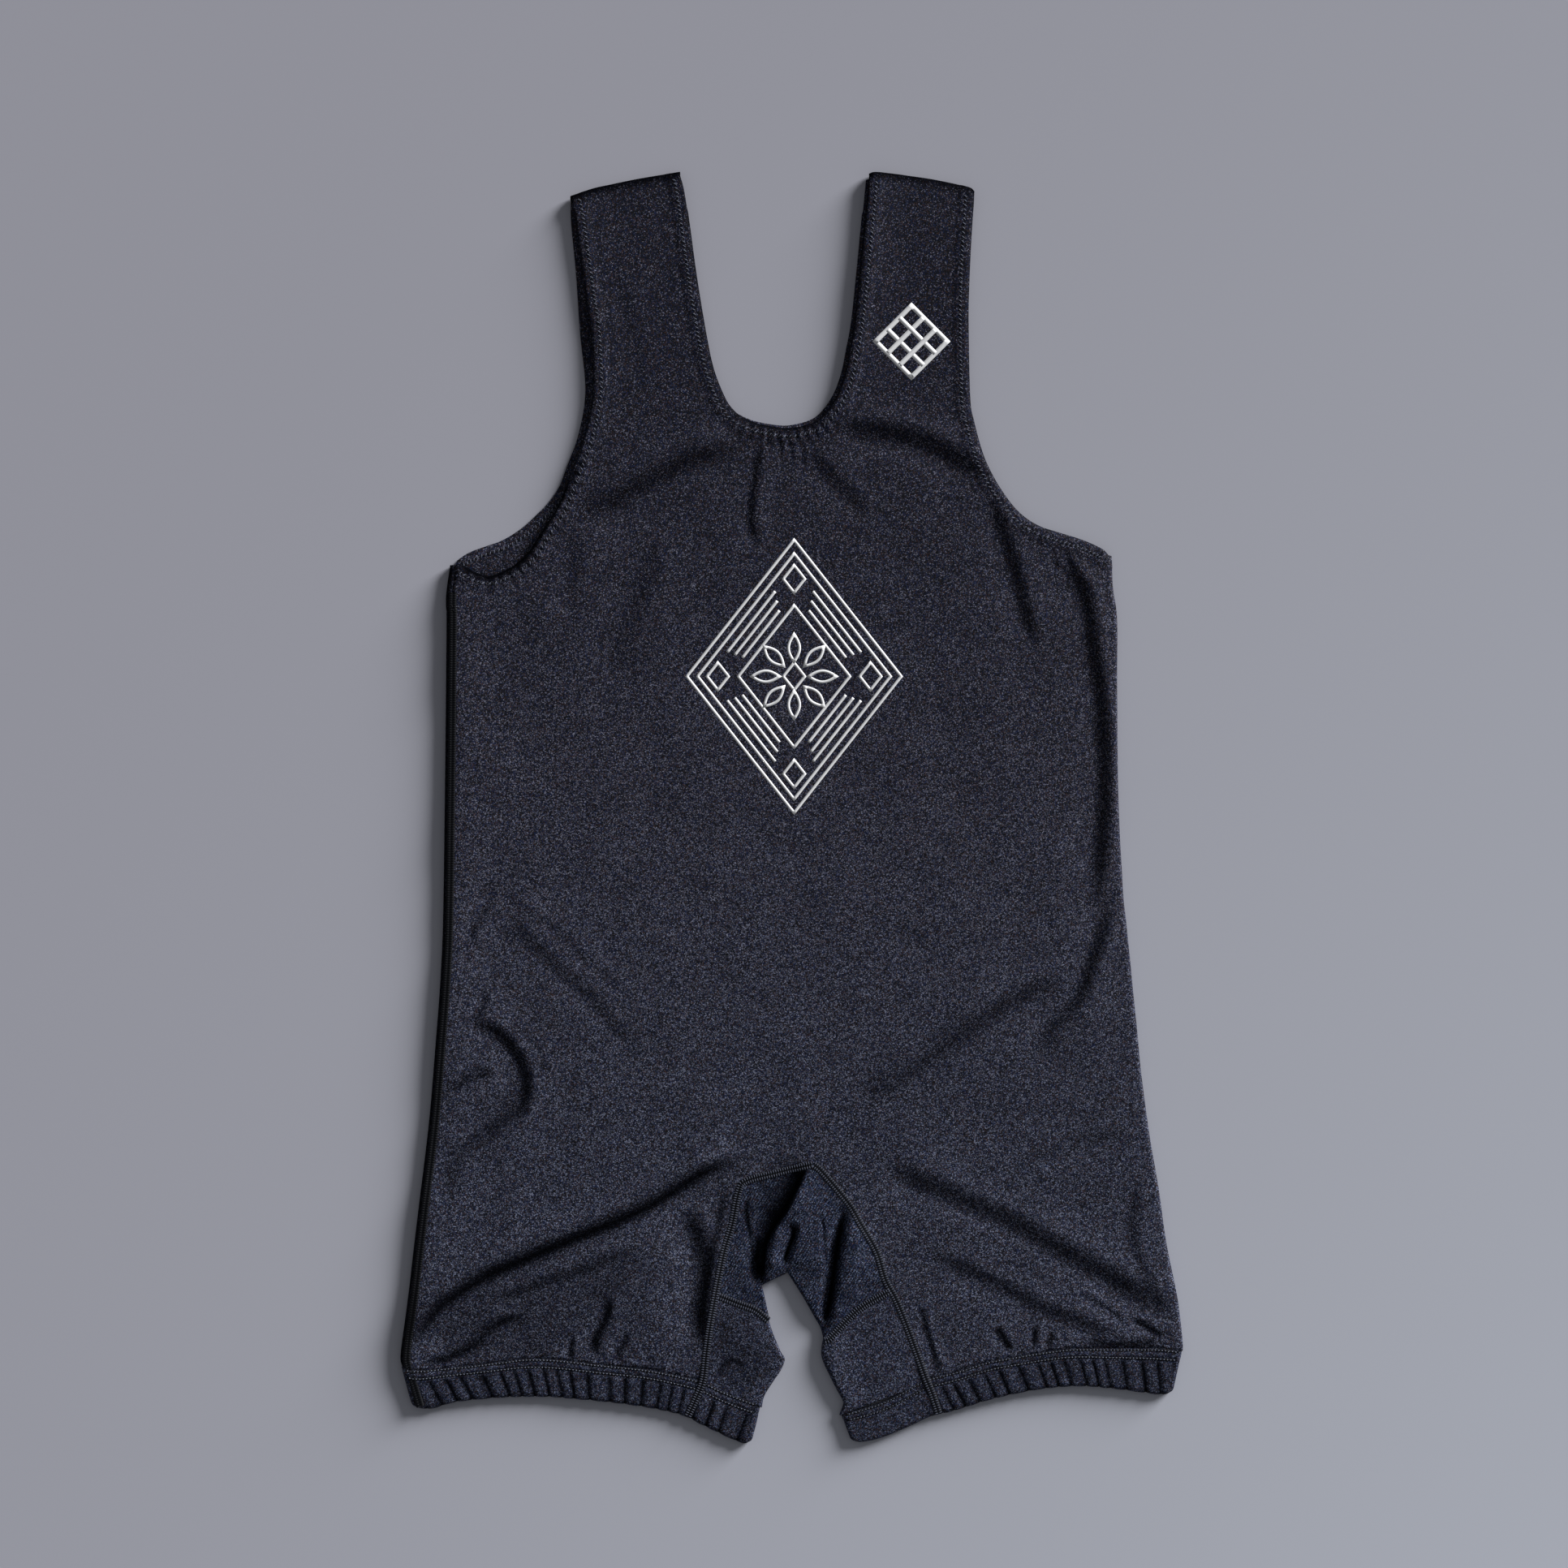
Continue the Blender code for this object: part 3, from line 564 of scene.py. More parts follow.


# Painted shade along lines: the knit is darkened to stand in for the shade at its turned edges and
# in folds and hollows, and over broad parts of the left leg and hip. Columns: route, how far this
# reaches to its left, how far to its right, how much, whether it dies away at the route's ends.
PAINTED_SHADES = (
    (LEFT_SHOULDER, 4.4, 4.4, 0.995, False),
    (RIGHT_SHOULDER, 3.4, 3.4, 0.985, False),
    (LEFT_SIDE, 5.0, 5.0, 0.93, False),
    (LEFT_ARMHOLE, 1.0, 1.0, 0.80, False),
    (RIGHT_ARMHOLE, 0.9, 0.9, 0.65, False),
    (NECK, 1.3, 1.3, 0.92, False),
    (((-38, 246), (-30, 240.3), (-20, 236.2), (-4.5, 233.6), (5, 234.6), (13.3, 237.0),
      (21, 243)), 2.4, 2.4, 0.985, True),
    # painted shade over the lower half of the left leg, a little
    (((-226, -332), (-150, -306), (-80, -296)), 32, 34, 0.34, True),
    # painted shade in the gap under the left arm, where the front's edge lies down on the back
    (((-211, 155), (-206.5, 150.5), (-201, 147), (-195, 143.4), (-187.5, 141.2),
      (-181, 142.6), (-172, 147.2), (-165, 152.8), (-158, 161)), 2.9, 2.9, 0.985, True),
    (((-178, 146.5), (-168, 151), (-162, 155.5), (-154, 167.7), (-146, 181.5), (-139, 194),
      (-132, 209), (-126, 224)), 1.3, 1.3, 0.93, True),
    # painted shade on the left hip, a little
    (((-192, -146), (-158, -178)), 22, 22, 0.16, True),
    # painted shade on the left inner leg panel and in the curl in it
    (((-50, -305), (-24, -362)), 16, 16, 0.40, True),
    (((-45, -352), (-43.5, -345), (-39, -340.5), (-33, -341), (-29.5, -347)),
     1.4, 2.4, 0.80, True),
    # painted shade in the gusset's pockets
    (((12, -217), (3, -235), (-4, -249), (-10, -258), (-12, -264)), 1.2, 15.5, 0.99, True),
    (((-3, -246), (-10, -257), (-14.5, -266), (-16.5, -275), (-18.2, -298)),
     0.9, 8.0, 0.99, True),
    (((-20, -262), (-22, -275), (-20, -292)), 2.6, 1.0, 0.90, True),
    (((-26, -238), (-28, -250), (-25, -268)), 4.0, 1.0, 0.35, True),
    (((0.5, -254), (2, -262), (-2.5, -273), (-6.5, -284)), 1.4, 1.6, 0.97, True),
    (((34, -246), (31, -256), (28, -270), (26, -285), (24, -300), (19, -326)),
     2.8, 2.0, 0.97, True),
    (((18, -248), (20, -266), (21.5, -284)), 0.6, 0.6, 0.55, True),
)


def painted_shade(points):
    """How much shade is painted at each point, 0 to 1, along the creases and along the listed
    lines.
    """
    unshaded_share = np.ones(len(points))
    for route, half, _drop, _above, _high_reach, _low_reach, amount in CREASES:
        near, left, place = across(route, points, 5 * half)
        left = left + 0.1 * half
        fade = dying_away(route, place)
        spread_out = np.where(left > 0, 0.90 * half, 0.65 * half)
        unshaded_share[near] *= 1 - amount * fade * np.exp(-(left / spread_out) ** 2)
    for route, left_reach, right_reach, amount, dies_away in PAINTED_SHADES:
        near, left, place = across(route, points, 3 * max(left_reach, right_reach))
        fade = dying_away(route, place) if dies_away else 1.0
        reach = np.where(left > 0, left_reach, right_reach)
        unshaded_share[near] *= 1 - amount * fade * np.exp(-(left / reach) ** 2)
    return 1 - unshaded_share


def lower_edges(left_side_x, right_side_x):
    """The lower edges of the back or the front, from its left side to its right side."""
    left_hem = smooth_line(LEFT_HEM_TOP, EDGE_STEP)
    right_hem = smooth_line(RIGHT_HEM_TOP, EDGE_STEP)[::-1]
    left_hem = left_hem[left_hem[:, 0] > left_side_x]
    right_hem = right_hem[right_hem[:, 0] < right_side_x]
    return (left_hem, smooth_line(LEFT_INNER_SEAM, 1.5)[::-1], smooth_line(GUSSET_SEAM, 1.5),
            smooth_line(RIGHT_INNER_SEAM, 1.5), right_hem)


def back_level(points):
    return np.full(len(points), BACK_LEVEL)


# The back is cut a little short of the front where the front turns under over it.
left_side = moved(LEFT_SIDE, SIDE_TURN)
right_side = moved(RIGHT_SIDE, -SIDE_TURN - SHORT_SIDE)[::-1]
strap_end = STRAP_TURN + SHORT_STRAP
back_edges = joined(
    left_side,
    *lower_edges(left_side[-1, 0], right_side[0, 0]),
    right_side,
    shoulder_lowered(moved(RIGHT_ARMHOLE, -BACK_SHIFT), strap_end)[::-1],
    moved(RIGHT_SHOULDER, -BACK_SHIFT, -strap_end)[::-1],
    shoulder_lowered(moved(NECK, -BACK_SHIFT, BACK_SHIFT), strap_end + BACK_SHIFT)[::-1],
    moved(LEFT_SHOULDER, 0, -strap_end)[::-1],
    shoulder_lowered(moved(LEFT_ARMHOLE_BACK, 0), strap_end),
)
back_outline = np.vstack([edge[:-1] for edge in back_edges])
back_field = clear_of(back_outline, even_field(back_outline, BACK_STEP), BACK_CLEAR)
corners, faces, on_edges = flat_sheet(back_edges, back_field, back_level)
side_places = corners[on_edges[0]][:, :2]
outward = np.tile((-1.0, 0.0), (len(side_places), 1))
corners, faces = turn_edge(corners, faces, on_edges[0], outward, relief(side_places),
                           SIDE_STRIP - SIDE_TURN)
# The back gets painted shade only where it comes up on top.
back = make_piece("singlet_back", corners, faces, body_knit, wall=CLOTH,
                  shade_share=painted_shade(corners[:, :2]) * (corners[:, 2] > UNDERSIDE))
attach(back, "root")
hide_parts("back_panel")


# ---------------------------------------------------------------------------------------
# Front panel. The same knit, cut in one with its two straps. It lies on the back, turns
# under along its right side and over both shoulders, and its neck and armhole edges are
# turned in by nine millimetres and held by a zigzag, which draws them up a little.

EDGE_BAND = 8.6  # depth of a turned-in edge
BAND_STANDS = 0.55  # how far the doubled cloth stands above the single
EDGE_RING = 1.1  # from an opening's edge to the first points inside it
EDGE_ROLL = 1.2  # over which an opening's edge rounds down
ROLL_DROP = 0.9  # by this much
STITCH_IN = 5.0  # from an opening's edge to its zigzag
STITCH_DENT = 0.20  # how deep the zigzag draws the cloth in
FINE_STEP = 1.75
COARSE_STEP = 4.0
CURVED = 0.010  # curvature, in 1/mm, from which the finer points are used

# Openings. Columns: outline, side of its travel that the cloth is on, pucker pitch, how high
# the puckers are along the strap and in the curve, share of the edge where the curve starts
# and where it ends.
OPENINGS = (
    (NECK, -1, 5.2, 0.16, 0.55, 0.36, 0.62),
    (LEFT_ARMHOLE, 1, 5.8, 0.12, 0.45, 0.50, 1.02),
    (RIGHT_ARMHOLE, -1, 6.1, 0.12, 0.40, 0.45, 0.90),
)


def units(ways):
    return ways / np.linalg.norm(ways, axis=1)[:, None]


def to_left(line):
    """Unit directions to the left of a line's travel, at each of its points."""
    along = units(np.gradient(line[:, :2], axis=0))
    return np.column_stack([-along[:, 1], along[:, 0]])


def inset(line, inward):
    """A line moved to its left by `inward`."""
    return line + inward * to_left(line)


def front_level(points):
    """Height of the middle of the front panel's wall."""
    level = relief(points)
    for rows, _side, pitch, strap_pucker, curve_pucker, start, end in OPENINGS:
        near, left, place = across(rows, points, 15.0)
        away = np.abs(left)
        in_curve = smooth_step((place - start) / 0.08) * smooth_step((end - place) / 0.08)
        pucker = strap_pucker + (curve_pucker - strap_pucker) * in_curve
        run = place * length_of(known_lines[rows])
        wave = np.sin(2 * math.pi * run / pitch + 1.3 * np.sin(run / 17.0))
        reach = smooth_step(away / 3.0) * np.exp(-(np.maximum(away - 5, 0) / 4.5) ** 2)
        band = BAND_STANDS * (1 - smooth_step((away - EDGE_BAND + 0.8) / 1.3))
        dent = -STITCH_DENT * np.exp(-((away - STITCH_IN) / 0.8) ** 2)
        tuck = 1 - np.minimum(away / EDGE_ROLL, 1)
        roll = -ROLL_DROP * (1 - np.sqrt(1 - tuck ** 2))
        level[near] += band + dent + roll + pucker * wave * reach
    return np.maximum(level, LOWEST_FRONT - 0.25)


def refined_field(outline, level):
    """Points that fill an outline: close together where the cloth is creased."""
    low, high = outline.min(axis=0) - 4, outline.max(axis=0) + 4
    cell = 2.0
    xs, ys = np.arange(low[0], high[0], cell), np.arange(low[1], high[1], cell)
    grid = np.stack(np.meshgrid(xs, ys, indexing="ij"), axis=-1)
    heights = level(grid.reshape(-1, 2)).reshape(len(xs), len(ys))
    bend = np.maximum(np.abs(np.gradient(np.gradient(heights, cell, axis=0), cell, axis=0)),
                      np.abs(np.gradient(np.gradient(heights, cell, axis=1), cell, axis=1)))
    for axis in (0, 1):
        bend = np.maximum(bend, np.maximum(np.roll(bend, 1, axis), np.roll(bend, -1, axis)))

    def bend_at(points):
        place = np.round((points - low) / cell).astype(int)
        return bend[place[:, 0], place[:, 1]]

    rings = np.vstack([inset(smooth_line(rows, 1.9), side * EDGE_RING)
                       for rows, side, *_rest in OPENINGS])
    rings = clear_of(outline, rings[inside(outline, rings)], 0.8 * EDGE_RING)
    edges = np.vstack([outline, rings])
    fine = even_field(outline, FINE_STEP)
    fine = clear_of(edges, fine[bend_at(fine) >= CURVED], 0.6 * FINE_STEP)
    coarse = even_field(outline, COARSE_STEP)
    coarse = clear_of(edges, coarse[bend_at(coarse) < CURVED], 0.5 * FINE_STEP)
    return np.vstack([rings, fine, coarse])


front_left = moved(LEFT_SIDE, SIDE_STRIP + 0.15)
front_right = moved(RIGHT_SIDE, -SIDE_TURN)[::-1]
front_edges = joined(
    front_left,
    *lower_edges(front_left[-1, 0], front_right[0, 0]),
    front_right,
    shoulder_lowered(moved(RIGHT_ARMHOLE, 0), STRAP_TURN)[::-1],
    moved(RIGHT_SHOULDER, 0, -STRAP_TURN)[::-1],
    shoulder_lowered(moved(NECK, 0), STRAP_TURN)[::-1],
    moved(LEFT_SHOULDER, 0, -STRAP_TURN)[::-1],
    shoulder_lowered(moved(LEFT_ARMHOLE, 0), STRAP_TURN),
)
front_outline = np.vstack([edge[:-1] for edge in front_edges])
corners, faces, on_edges = flat_sheet(front_edges, refined_field(front_outline, front_level),
                                      front_level)
# The right side and the tops of the right and left straps turn under.
for edge, outward in ((6, (1.0, 0.0)), (8, (0.0, 1.0)), (10, (0.0, 1.0))):
    count = len(on_edges[edge])
    corners, faces = turn_edge(corners, faces, on_edges[edge], np.tile(outward, (count, 1)),
                               np.full(count, BACK_LEVEL), 1.0)
# The front carries painted shade along its creases, edges and hollows.
front = make_piece("singlet_front", corners, faces, body_knit, wall=CLOTH,
                   shade_share=painted_shade(corners[:, :2]))
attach(front, "root")
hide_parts("front_panel")


# ---------------------------------------------------------------------------------------
# Crotch gusset and the two inner leg panels. Firmer knits, ribbed in the gusset, seamed to
# the front, turned under at the inside of the legs and seamed to the back again. The gusset
# is folded in on itself, which leaves deep pockets in it.

GUSSET_DARK = (0.003, 0.0045, 0.008, 1.0)
GUSSET_LIGHT = (0.140, 0.172, 0.262, 1.0)
INNER_LIGHT = (0.205, 0.235, 0.345, 1.0)
SEAM_GAP = 0.15  # between a panel's edge and its seam's line

# Where each panel turns under, from its front seam's start to its end.
GUSSET_FOLD = ((-14.5, -316.0), (-14.7, -312.8), (-18.0, -298.3), (-19.0, -295.0),
               (-11.5, -291.5), (-4.5, -288.0), (-2.8, -287.0), (5.0, -299.3),
               (11.5, -310.8), (17.5, -321.0), (18.8, -327.3))
LEFT_INNER_FOLD = ((-14.5, -316.0), (-11.8, -324.3), (-7.0, -335.8), (-4.5, -340.5),
                   (-7.0, -347.3), (-10.8, -352.8), (-17.0, -362.8), (-18.6, -370.0))
RIGHT_INNER_FOLD = ((18.8, -327.3), (17.5, -335.3), (18.5, -341.8), (22.5, -350.5),
                    (27.0, -359.3), (31.0, -366.3), (30.8, -369.8), (29.0, -374.8))

gusset_knit = knit_material("gusset_knit", GUSSET_DARK, GUSSET_LIGHT, rib_turn=0.55,
                            painted_falloff=False, gloss=0.06)
inner_knit = knit_material("inner_knit", KNIT_DARK, INNER_LIGHT, painted_falloff=False)


def grid_faces(rows, columns, closed=False):
    """Quads of a grid of corners, row after row, and from each row's end to its start."""
    last = columns if closed else columns - 1
    return [(r * columns + c, r * columns + (c + 1) % columns,
             (r + 1) * columns + (c + 1) % columns, (r + 1) * columns + c)
            for r in range(rows - 1) for c in range(last)]


def facing_up(corners, faces):
    """The faces, all reversed if most of them look down."""
    spots = np.array([face[:3] for face in faces])
    a, b, c = (corners[spots[:, k]] for k in range(3))
    up = np.cross(b - a, c - a)[:, 2].sum()
    return faces if up > 0 else [tuple(reversed(face)) for face in faces]


def inner_panel(name, cloth, seam_rows, fold_rows, side, across_count, under_count):
    """A panel from its front seam out to its fold, round it, and back to its back seam."""
    seam = inset(smooth_line(seam_rows, 1.1), side * SEAM_GAP)
    fold = spread(smooth_line(fold_rows, 0.5), len(seam))
    outward = units(fold - seam)
    fold_level = relief(fold - 2.0 * outward)
    turn = fold - ((fold_level - BACK_LEVEL + CLOTH) / 2)[:, None] * outward
    rings = []
    for share in np.linspace(0, 1, across_count):
        row = seam + (turn - seam) * share
        rings.append(np.column_stack([row, relief(row)]))
    steps = np.array([half_circle(BACK_LEVEL - z) for z in rings[-1][:, 2]])
    for k in range(steps.shape[1]):
        rings.append(np.column_stack([turn + outward * steps[:, k, :1],
                                      rings[across_count - 1][:, 2] + steps[:, k, 1]]))
    for share in np.linspace(1, 0, under_count)[1:]:
        row = seam + (turn - seam) * share
        rings.append(np.column_stack([row, back_level(row)]))
    made = np.vstack(rings)
    quads = facing_up(made, grid_faces(len(rings), len(seam)))
    # Painted shade on the panel where it lies on top.
    piece = make_piece(name, made, quads, cloth, wall=CLOTH,
                       shade_share=painted_shade(made[:, :2]) * (made[:, 2] > UNDERSIDE))
    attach(piece, "root")
    return piece


gusset = inner_panel("gusset", gusset_knit, GUSSET_SEAM, GUSSET_FOLD, -1, 56, 10)
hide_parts("crotch_gusset")
inner_left = inner_panel("inner_left", inner_knit, LEFT_INNER_SEAM + ((-55.3, -355.6),),
                         LEFT_INNER_FOLD, 1, 40, 8)
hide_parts("inner_leg_left")
inner_right = inner_panel("inner_right", inner_knit, RIGHT_INNER_SEAM + ((83.1, -354.4),),
                          RIGHT_INNER_FOLD, -1, 48, 8)
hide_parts("inner_leg_right")


# ---------------------------------------------------------------------------------------
# Leg hems. The leg's end turned up over an elastic and held by two rows of stitches. The
# elastic gathers the cloth below the rows into slanting pinched pleats.

HEM_STANDS = 0.15  # how far the doubled cloth stands above the panel beside it
HEM_LIGHT = (0.162, 0.190, 0.284, 1.0)
HEM_ROWS = 22
HEM_STEP = 0.85
HEM_TURN = 2.3  # from each end of the hem to where its turn starts
HEM_BACK = BACK_LEVEL + 0.3  # middle of the hem's back wall
HEM_BACK_COUNT = 60
HEM_LOWEST = 1.9
PINCH = 1.9  # half width of the painted shade line where a pleat is pinched
PLEATS_FROM = 0.20  # share of the hem's depth below which it is pleated
PLEAT_SHAPE = 0.40  # power of a sine: the lower, the fuller the pleats and the finer the pinch
PLEAT_RISE = 1.25
SCALLOP = 0.030  # how much the pleats lengthen the hem, as a share of its depth
ROW_DENT = 0.28  # how deep a row of stitches draws the hem in
ROW_PLACES = (0.035, 0.25)  # the two rows of stitches, as shares of the hem's depth

# Each hem: its top and lower edges from its outer side to its inner side, the mean pitch of
# its pleats, their slant and their height as tables of (distance along the hem, value), and
# the phase of their unevenness.
LEFT_HEM = (
    LEFT_HEM_TOP + ((-45.5, -358.3), (-35.5, -362.5), (-19.0, -368.3)),
    ((-234.5, -368.5), (-225.7, -370.3), (-218.5, -369.3), (-207.0, -366.0), (-179.5, -363.3),
     (-152.5, -362.8), (-137.5, -363.8), (-107.0, -366.8), (-81.5, -370.8), (-66.0, -374.8),
     (-56.0, -379.8), (-41.5, -386.8), (-30.0, -391.5), (-25.0, -389.0)),
    9.4, ((0, 5.0), (50, 4.0), (90, 2.0), (130, 0.0), (175, -3.0), (215, -3.0)),
    ((0, 0.5), (20, 1.1), (160, 1.2), (200, 1.0), (215, 0.6)), 0.0)
RIGHT_HEM = (
    RIGHT_HEM_TOP + ((68.0, -360.3), (56.0, -366.3), (44.0, -370.3), (30.0, -374.5)),
    ((235.0, -358.5), (228.5, -361.5), (217.0, -360.3), (197.5, -357.8), (178.5, -356.3),
     (159.5, -357.3), (140.5, -360.3), (121.0, -364.8), (99.5, -371.5), (86.0, -374.8),
     (71.8, -381.3), (60.0, -386.3), (50.3, -389.5), (41.5, -390.8), (36.0, -389.0)),
    9.2, ((0, -5.0), (120, -5.5), (150, -5.0), (215, -2.0)),
    ((0, 1.0), (120, 1.1), (146, 1.0), (156, 0.12), (215, 0.10)), 1.7)


def hem_grid(shape):
    """Rows of points over a hem's front from its top line down, and how much shade is painted at
    each.
    """
    top_rows, edge_rows, pitch, slants, heights, phase = shape
    top, edge = smooth_line(top_rows, 1.0), smooth_line(edge_rows, 1.0)
    length = length_of(edge)
    count = round(length / HEM_STEP)
    top, edge = spread(top, count), spread(edge, count)
    run = np.linspace(0, length, count)
    slant = np.interp(run, *np.array(slants, float).T)
    height = np.interp(run, *np.array(heights, float).T)
    rows, shade_shares = [], []
    for down in np.linspace(0, 1, HEM_ROWS):
        place = run + slant * (0.6 - down) * 1.4
        cells = place / pitch + 0.26 * np.sin(place / 13.0 + phase) + phase
        cells += 0.10 * np.sin(place / 5.1 + 2 * phase)
        pleat = np.abs(np.sin(math.pi * cells)) ** PLEAT_SHAPE
        size = height * (0.72 + 0.28 * np.sin(4.1 * np.floor(cells) + 2 * phase))
        below = smooth_step((down - PLEATS_FROM) / 0.28)
        above = 0.16 * smooth_step((PLEATS_FROM - down) / 0.12)
        flat = top + (edge - top) * down
        longer = SCALLOP * (pleat - 0.6) * height * smooth_step(down)
        flat = flat + (edge - top) * longer[:, None]
        level = relief(flat) * (1 - 0.35 * below) + BODY_LEVEL * 0.35 * below + HEM_STANDS
        level = level + PLEAT_RISE * size * (pleat - 0.80) * (below + above)
        for stitch_row in ROW_PLACES:
            level = level - ROW_DENT * math.exp(-((down - stitch_row) / 0.035) ** 2)
        tuck = max(0.0, (down - 0.93) / 0.07)
        level = level - (1 - math.sqrt(1 - tuck ** 2))
        rows.append(np.column_stack([flat, np.maximum(level, HEM_LOWEST)]))
        # Painted shade: a dark line where each pleat is pinched.
        from_pinch = np.abs(cells - np.round(cells)) * pitch
        pinch_shade = np.minimum(1.5 * size, 1.0) * np.exp(-(from_pinch / PINCH) ** 2)
        shade_shares.append(0.98 * pinch_shade * smooth_step((down - 0.22) / 0.14))
    # Painted shade along the rows of stitches, and just above them.
    for stitch_row in ROW_PLACES:
        row = round(stitch_row * (HEM_ROWS - 1))
        shade_shares[row][:] = 0.9
        shade_shares[row - 1] = np.maximum(shade_shares[row - 1], 0.5)
    return np.array(rows), np.array(shade_shares)


def leg_hem(name, shape, node):
    """A hem as a flattened ring: its gathered front, the turns at its ends, and its back."""
    front_rows, shade_shares = hem_grid(shape)
    keep = round(HEM_TURN / HEM_STEP)
    rings, shade_share = [], []
    for row, row_shade in zip(front_rows, shade_shares):
        upper = row[keep:-keep]
        turns = []
        for end, before in ((upper[-1], upper[-4]), (upper[0], upper[3])):
            outward = (end - before)[:2] / np.linalg.norm((end - before)[:2])
            steps = half_circle(HEM_BACK - end[2])
            turns.append(np.column_stack([end[:2] + outward * steps[:, :1],
                                          end[2] + steps[:, 1]]))
        lower = np.column_stack([spread(upper[:, :2], HEM_BACK_COUNT),
                                 np.full(HEM_BACK_COUNT, HEM_BACK)])
        rings.append(np.vstack([upper, turns[0], lower[::-1][1:-1], turns[1][::-1]]))
        shade_share.append(np.zeros(len(rings[-1])))
        shade_share[-1][:len(upper)] = row_shade[keep:-keep]
    made = np.vstack(rings)
    quads = grid_faces(len(rings), len(rings[0]), closed=True)
    # The hem's front carries painted shade in its pinches and along its rows of stitches.
    piece = make_piece(name, made, facing_up(made, quads), hem_knit, wall=CLOTH,
                       shade_share=np.concatenate(shade_share))
    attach(piece, "root")
    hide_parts(node)
    return piece, front_rows


hem_knit = knit_material("hem_knit", KNIT_DARK, HEM_LIGHT, painted_falloff=False)
hem_left, left_rows = leg_hem("hem_left", LEFT_HEM, "leg_hem_left")
hem_right, right_rows = leg_hem("hem_right", RIGHT_HEM, "leg_hem_right")


# ---------------------------------------------------------------------------------------
# Flatlock seams. The panels meet edge to edge under a flat band of cover stitches: two
# columns of loops side by side, each about two millimetres wide.

BAND_HALF = 2.5  # half the band's width
LOOP_PITCH = 1.5
LOOP_HALF = 0.95
LOOP = (0.36, 0.12)  # radius of the thread and rise of its middle, as for all stitches
LOOP_LIFT = 0.26
COLUMN_AT = 1.25  # from the seam's line to the middle of each column
RING = 5  # corners round a stitch, and rings along it
BAND_DARK = (0.0027, 0.0034, 0.0066, 1.0)
THREAD_COLOUR = (0.094, 0.105, 0.150, 1.0)
PALE_THREAD = (0.215, 0.235, 0.305, 1.0)
EDGE_THREAD = (0.155, 0.170, 0.225, 1.0)

# Routes of the seams that show. A seam over a hem lies on its doubled cloth.
LEFT_SIDE_SEAM = tuple((x + 4.0, y) for x, y in LEFT_SIDE[1:]) + ((-234.0, -352.0),
                                                                 (-229.0, -369.0))
SEAMS = {
    "seam_left_side": LEFT_SIDE_SEAM,
    "seam_left_leg": ((12, -220.3), (-9, -225.3), (-28.3, -230.5), (-33, -237), (-37, -257),
                      (-41.5, -272), (-45, -289), (-47.5, -302), (-51, -322), (-53, -337),
                      (-55, -353.5), (-60, -366), (-64, -374.5)),
    "seam_right_leg": ((13.5, -220.5), (19, -225.5), (34.5, -244), (42, -256.5), (52, -274),
                       (57.5, -291.5), (63.5, -302.5), (70, -318), (77, -337), (82.5, -352.5),
                       (86, -361), (90, -373.0)),
    "seam_left_cross": ((-45, -301.3), (-33, -306), (-23, -309.8), (-14.8, -316.3)),
    "seam_right_cross": ((60, -298.3), (40.5, -309.8), (24, -326.3), (20.5, -328.3)),
}
SHADED_SEAMS = ("seam_left_side",)  # loops in the dark band thread: painted shade along the left side


def grained_material(name, dark, light, scale, detail, bump, rough, gloss):
    """A material with one fine grain in its colour and its relief."""
    made = Nodes(name)
    grain = made.add("ShaderNodeTexNoise", [("Vector", made.place()), ("Scale", scale),
                                            ("Detail", detail)])[0]
    made.link(made.mix(grain, dark, light), "Base Color")
    made.bump(grain, bump, 0.0001)
    made.shader.inputs["Roughness"].default_value = rough
    made.shader.inputs["Specular IOR Level"].default_value = gloss
    return made.material


def thread_material(name, colour):
    """Spun polyester thread, slightly glossy, with its twist as fine relief."""
    dark = tuple(0.55 * c for c in colour[:3]) + (1.0,)
    return grained_material(name, dark, colour, 2600.0, 1.0, 0.4, 0.6, 0.2)


band_thread = thread_material("band_thread", BAND_DARK)
loop_thread = thread_material("loop_thread", THREAD_COLOUR)
pale_thread = thread_material("pale_thread", PALE_THREAD)
edge_thread = thread_material("edge_thread", EDGE_THREAD)


def stitches(name, starts, ends, radius, rise, material):
    """Short raised stitches between pairs of points, as one piece."""
    starts, ends = np.asarray(starts), np.asarray(ends)
    along = ends - starts
    along[:, 2] = 0
    along = units(along)
    sideways = np.column_stack([-along[:, 1], along[:, 0], np.zeros(len(along))])
    up = np.array([0.0, 0.0, 1.0])
    rings = []
    for share, size in ((0.0, 0.35), (0.25, 0.9), (0.5, 1.0), (0.75, 0.9), (1.0, 0.35)):
        middle = starts + (ends - starts) * share + up * rise * math.sin(math.pi * share)
        for k in range(RING):
            angle = 2 * math.pi * (k + 0.5) / RING
            rings.append(middle + size * radius * (sideways * math.cos(angle)
                                                   + 0.8 * up * math.sin(angle)))
    corners = np.array(rings).transpose(1, 0, 2).reshape(-1, 3)
    count = RING * RING
    caps = [tuple(range(RING))[::-1], tuple(range(count - RING, count))]
    one = grid_faces(RING, RING, closed=True) + caps
    faces = [tuple(count * n + k for k in face) for n in range(len(starts)) for face in one]
    piece = make_piece(name, corners, faces, material)
    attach(piece, "root")
    return piece


def band_level(points):
    """Top of the cloth under a seam's band, with the hems' doubled cloth."""
    on_hem = smooth_step((-points[:, 1] - 338.0) / 16.0)
    flat = (BODY_LEVEL + HEM_STANDS - 0.1) * 0.5 * on_hem
    return relief(points) * (1 - 0.5 * on_hem) + flat + 0.45 * on_hem + CLOTH / 2


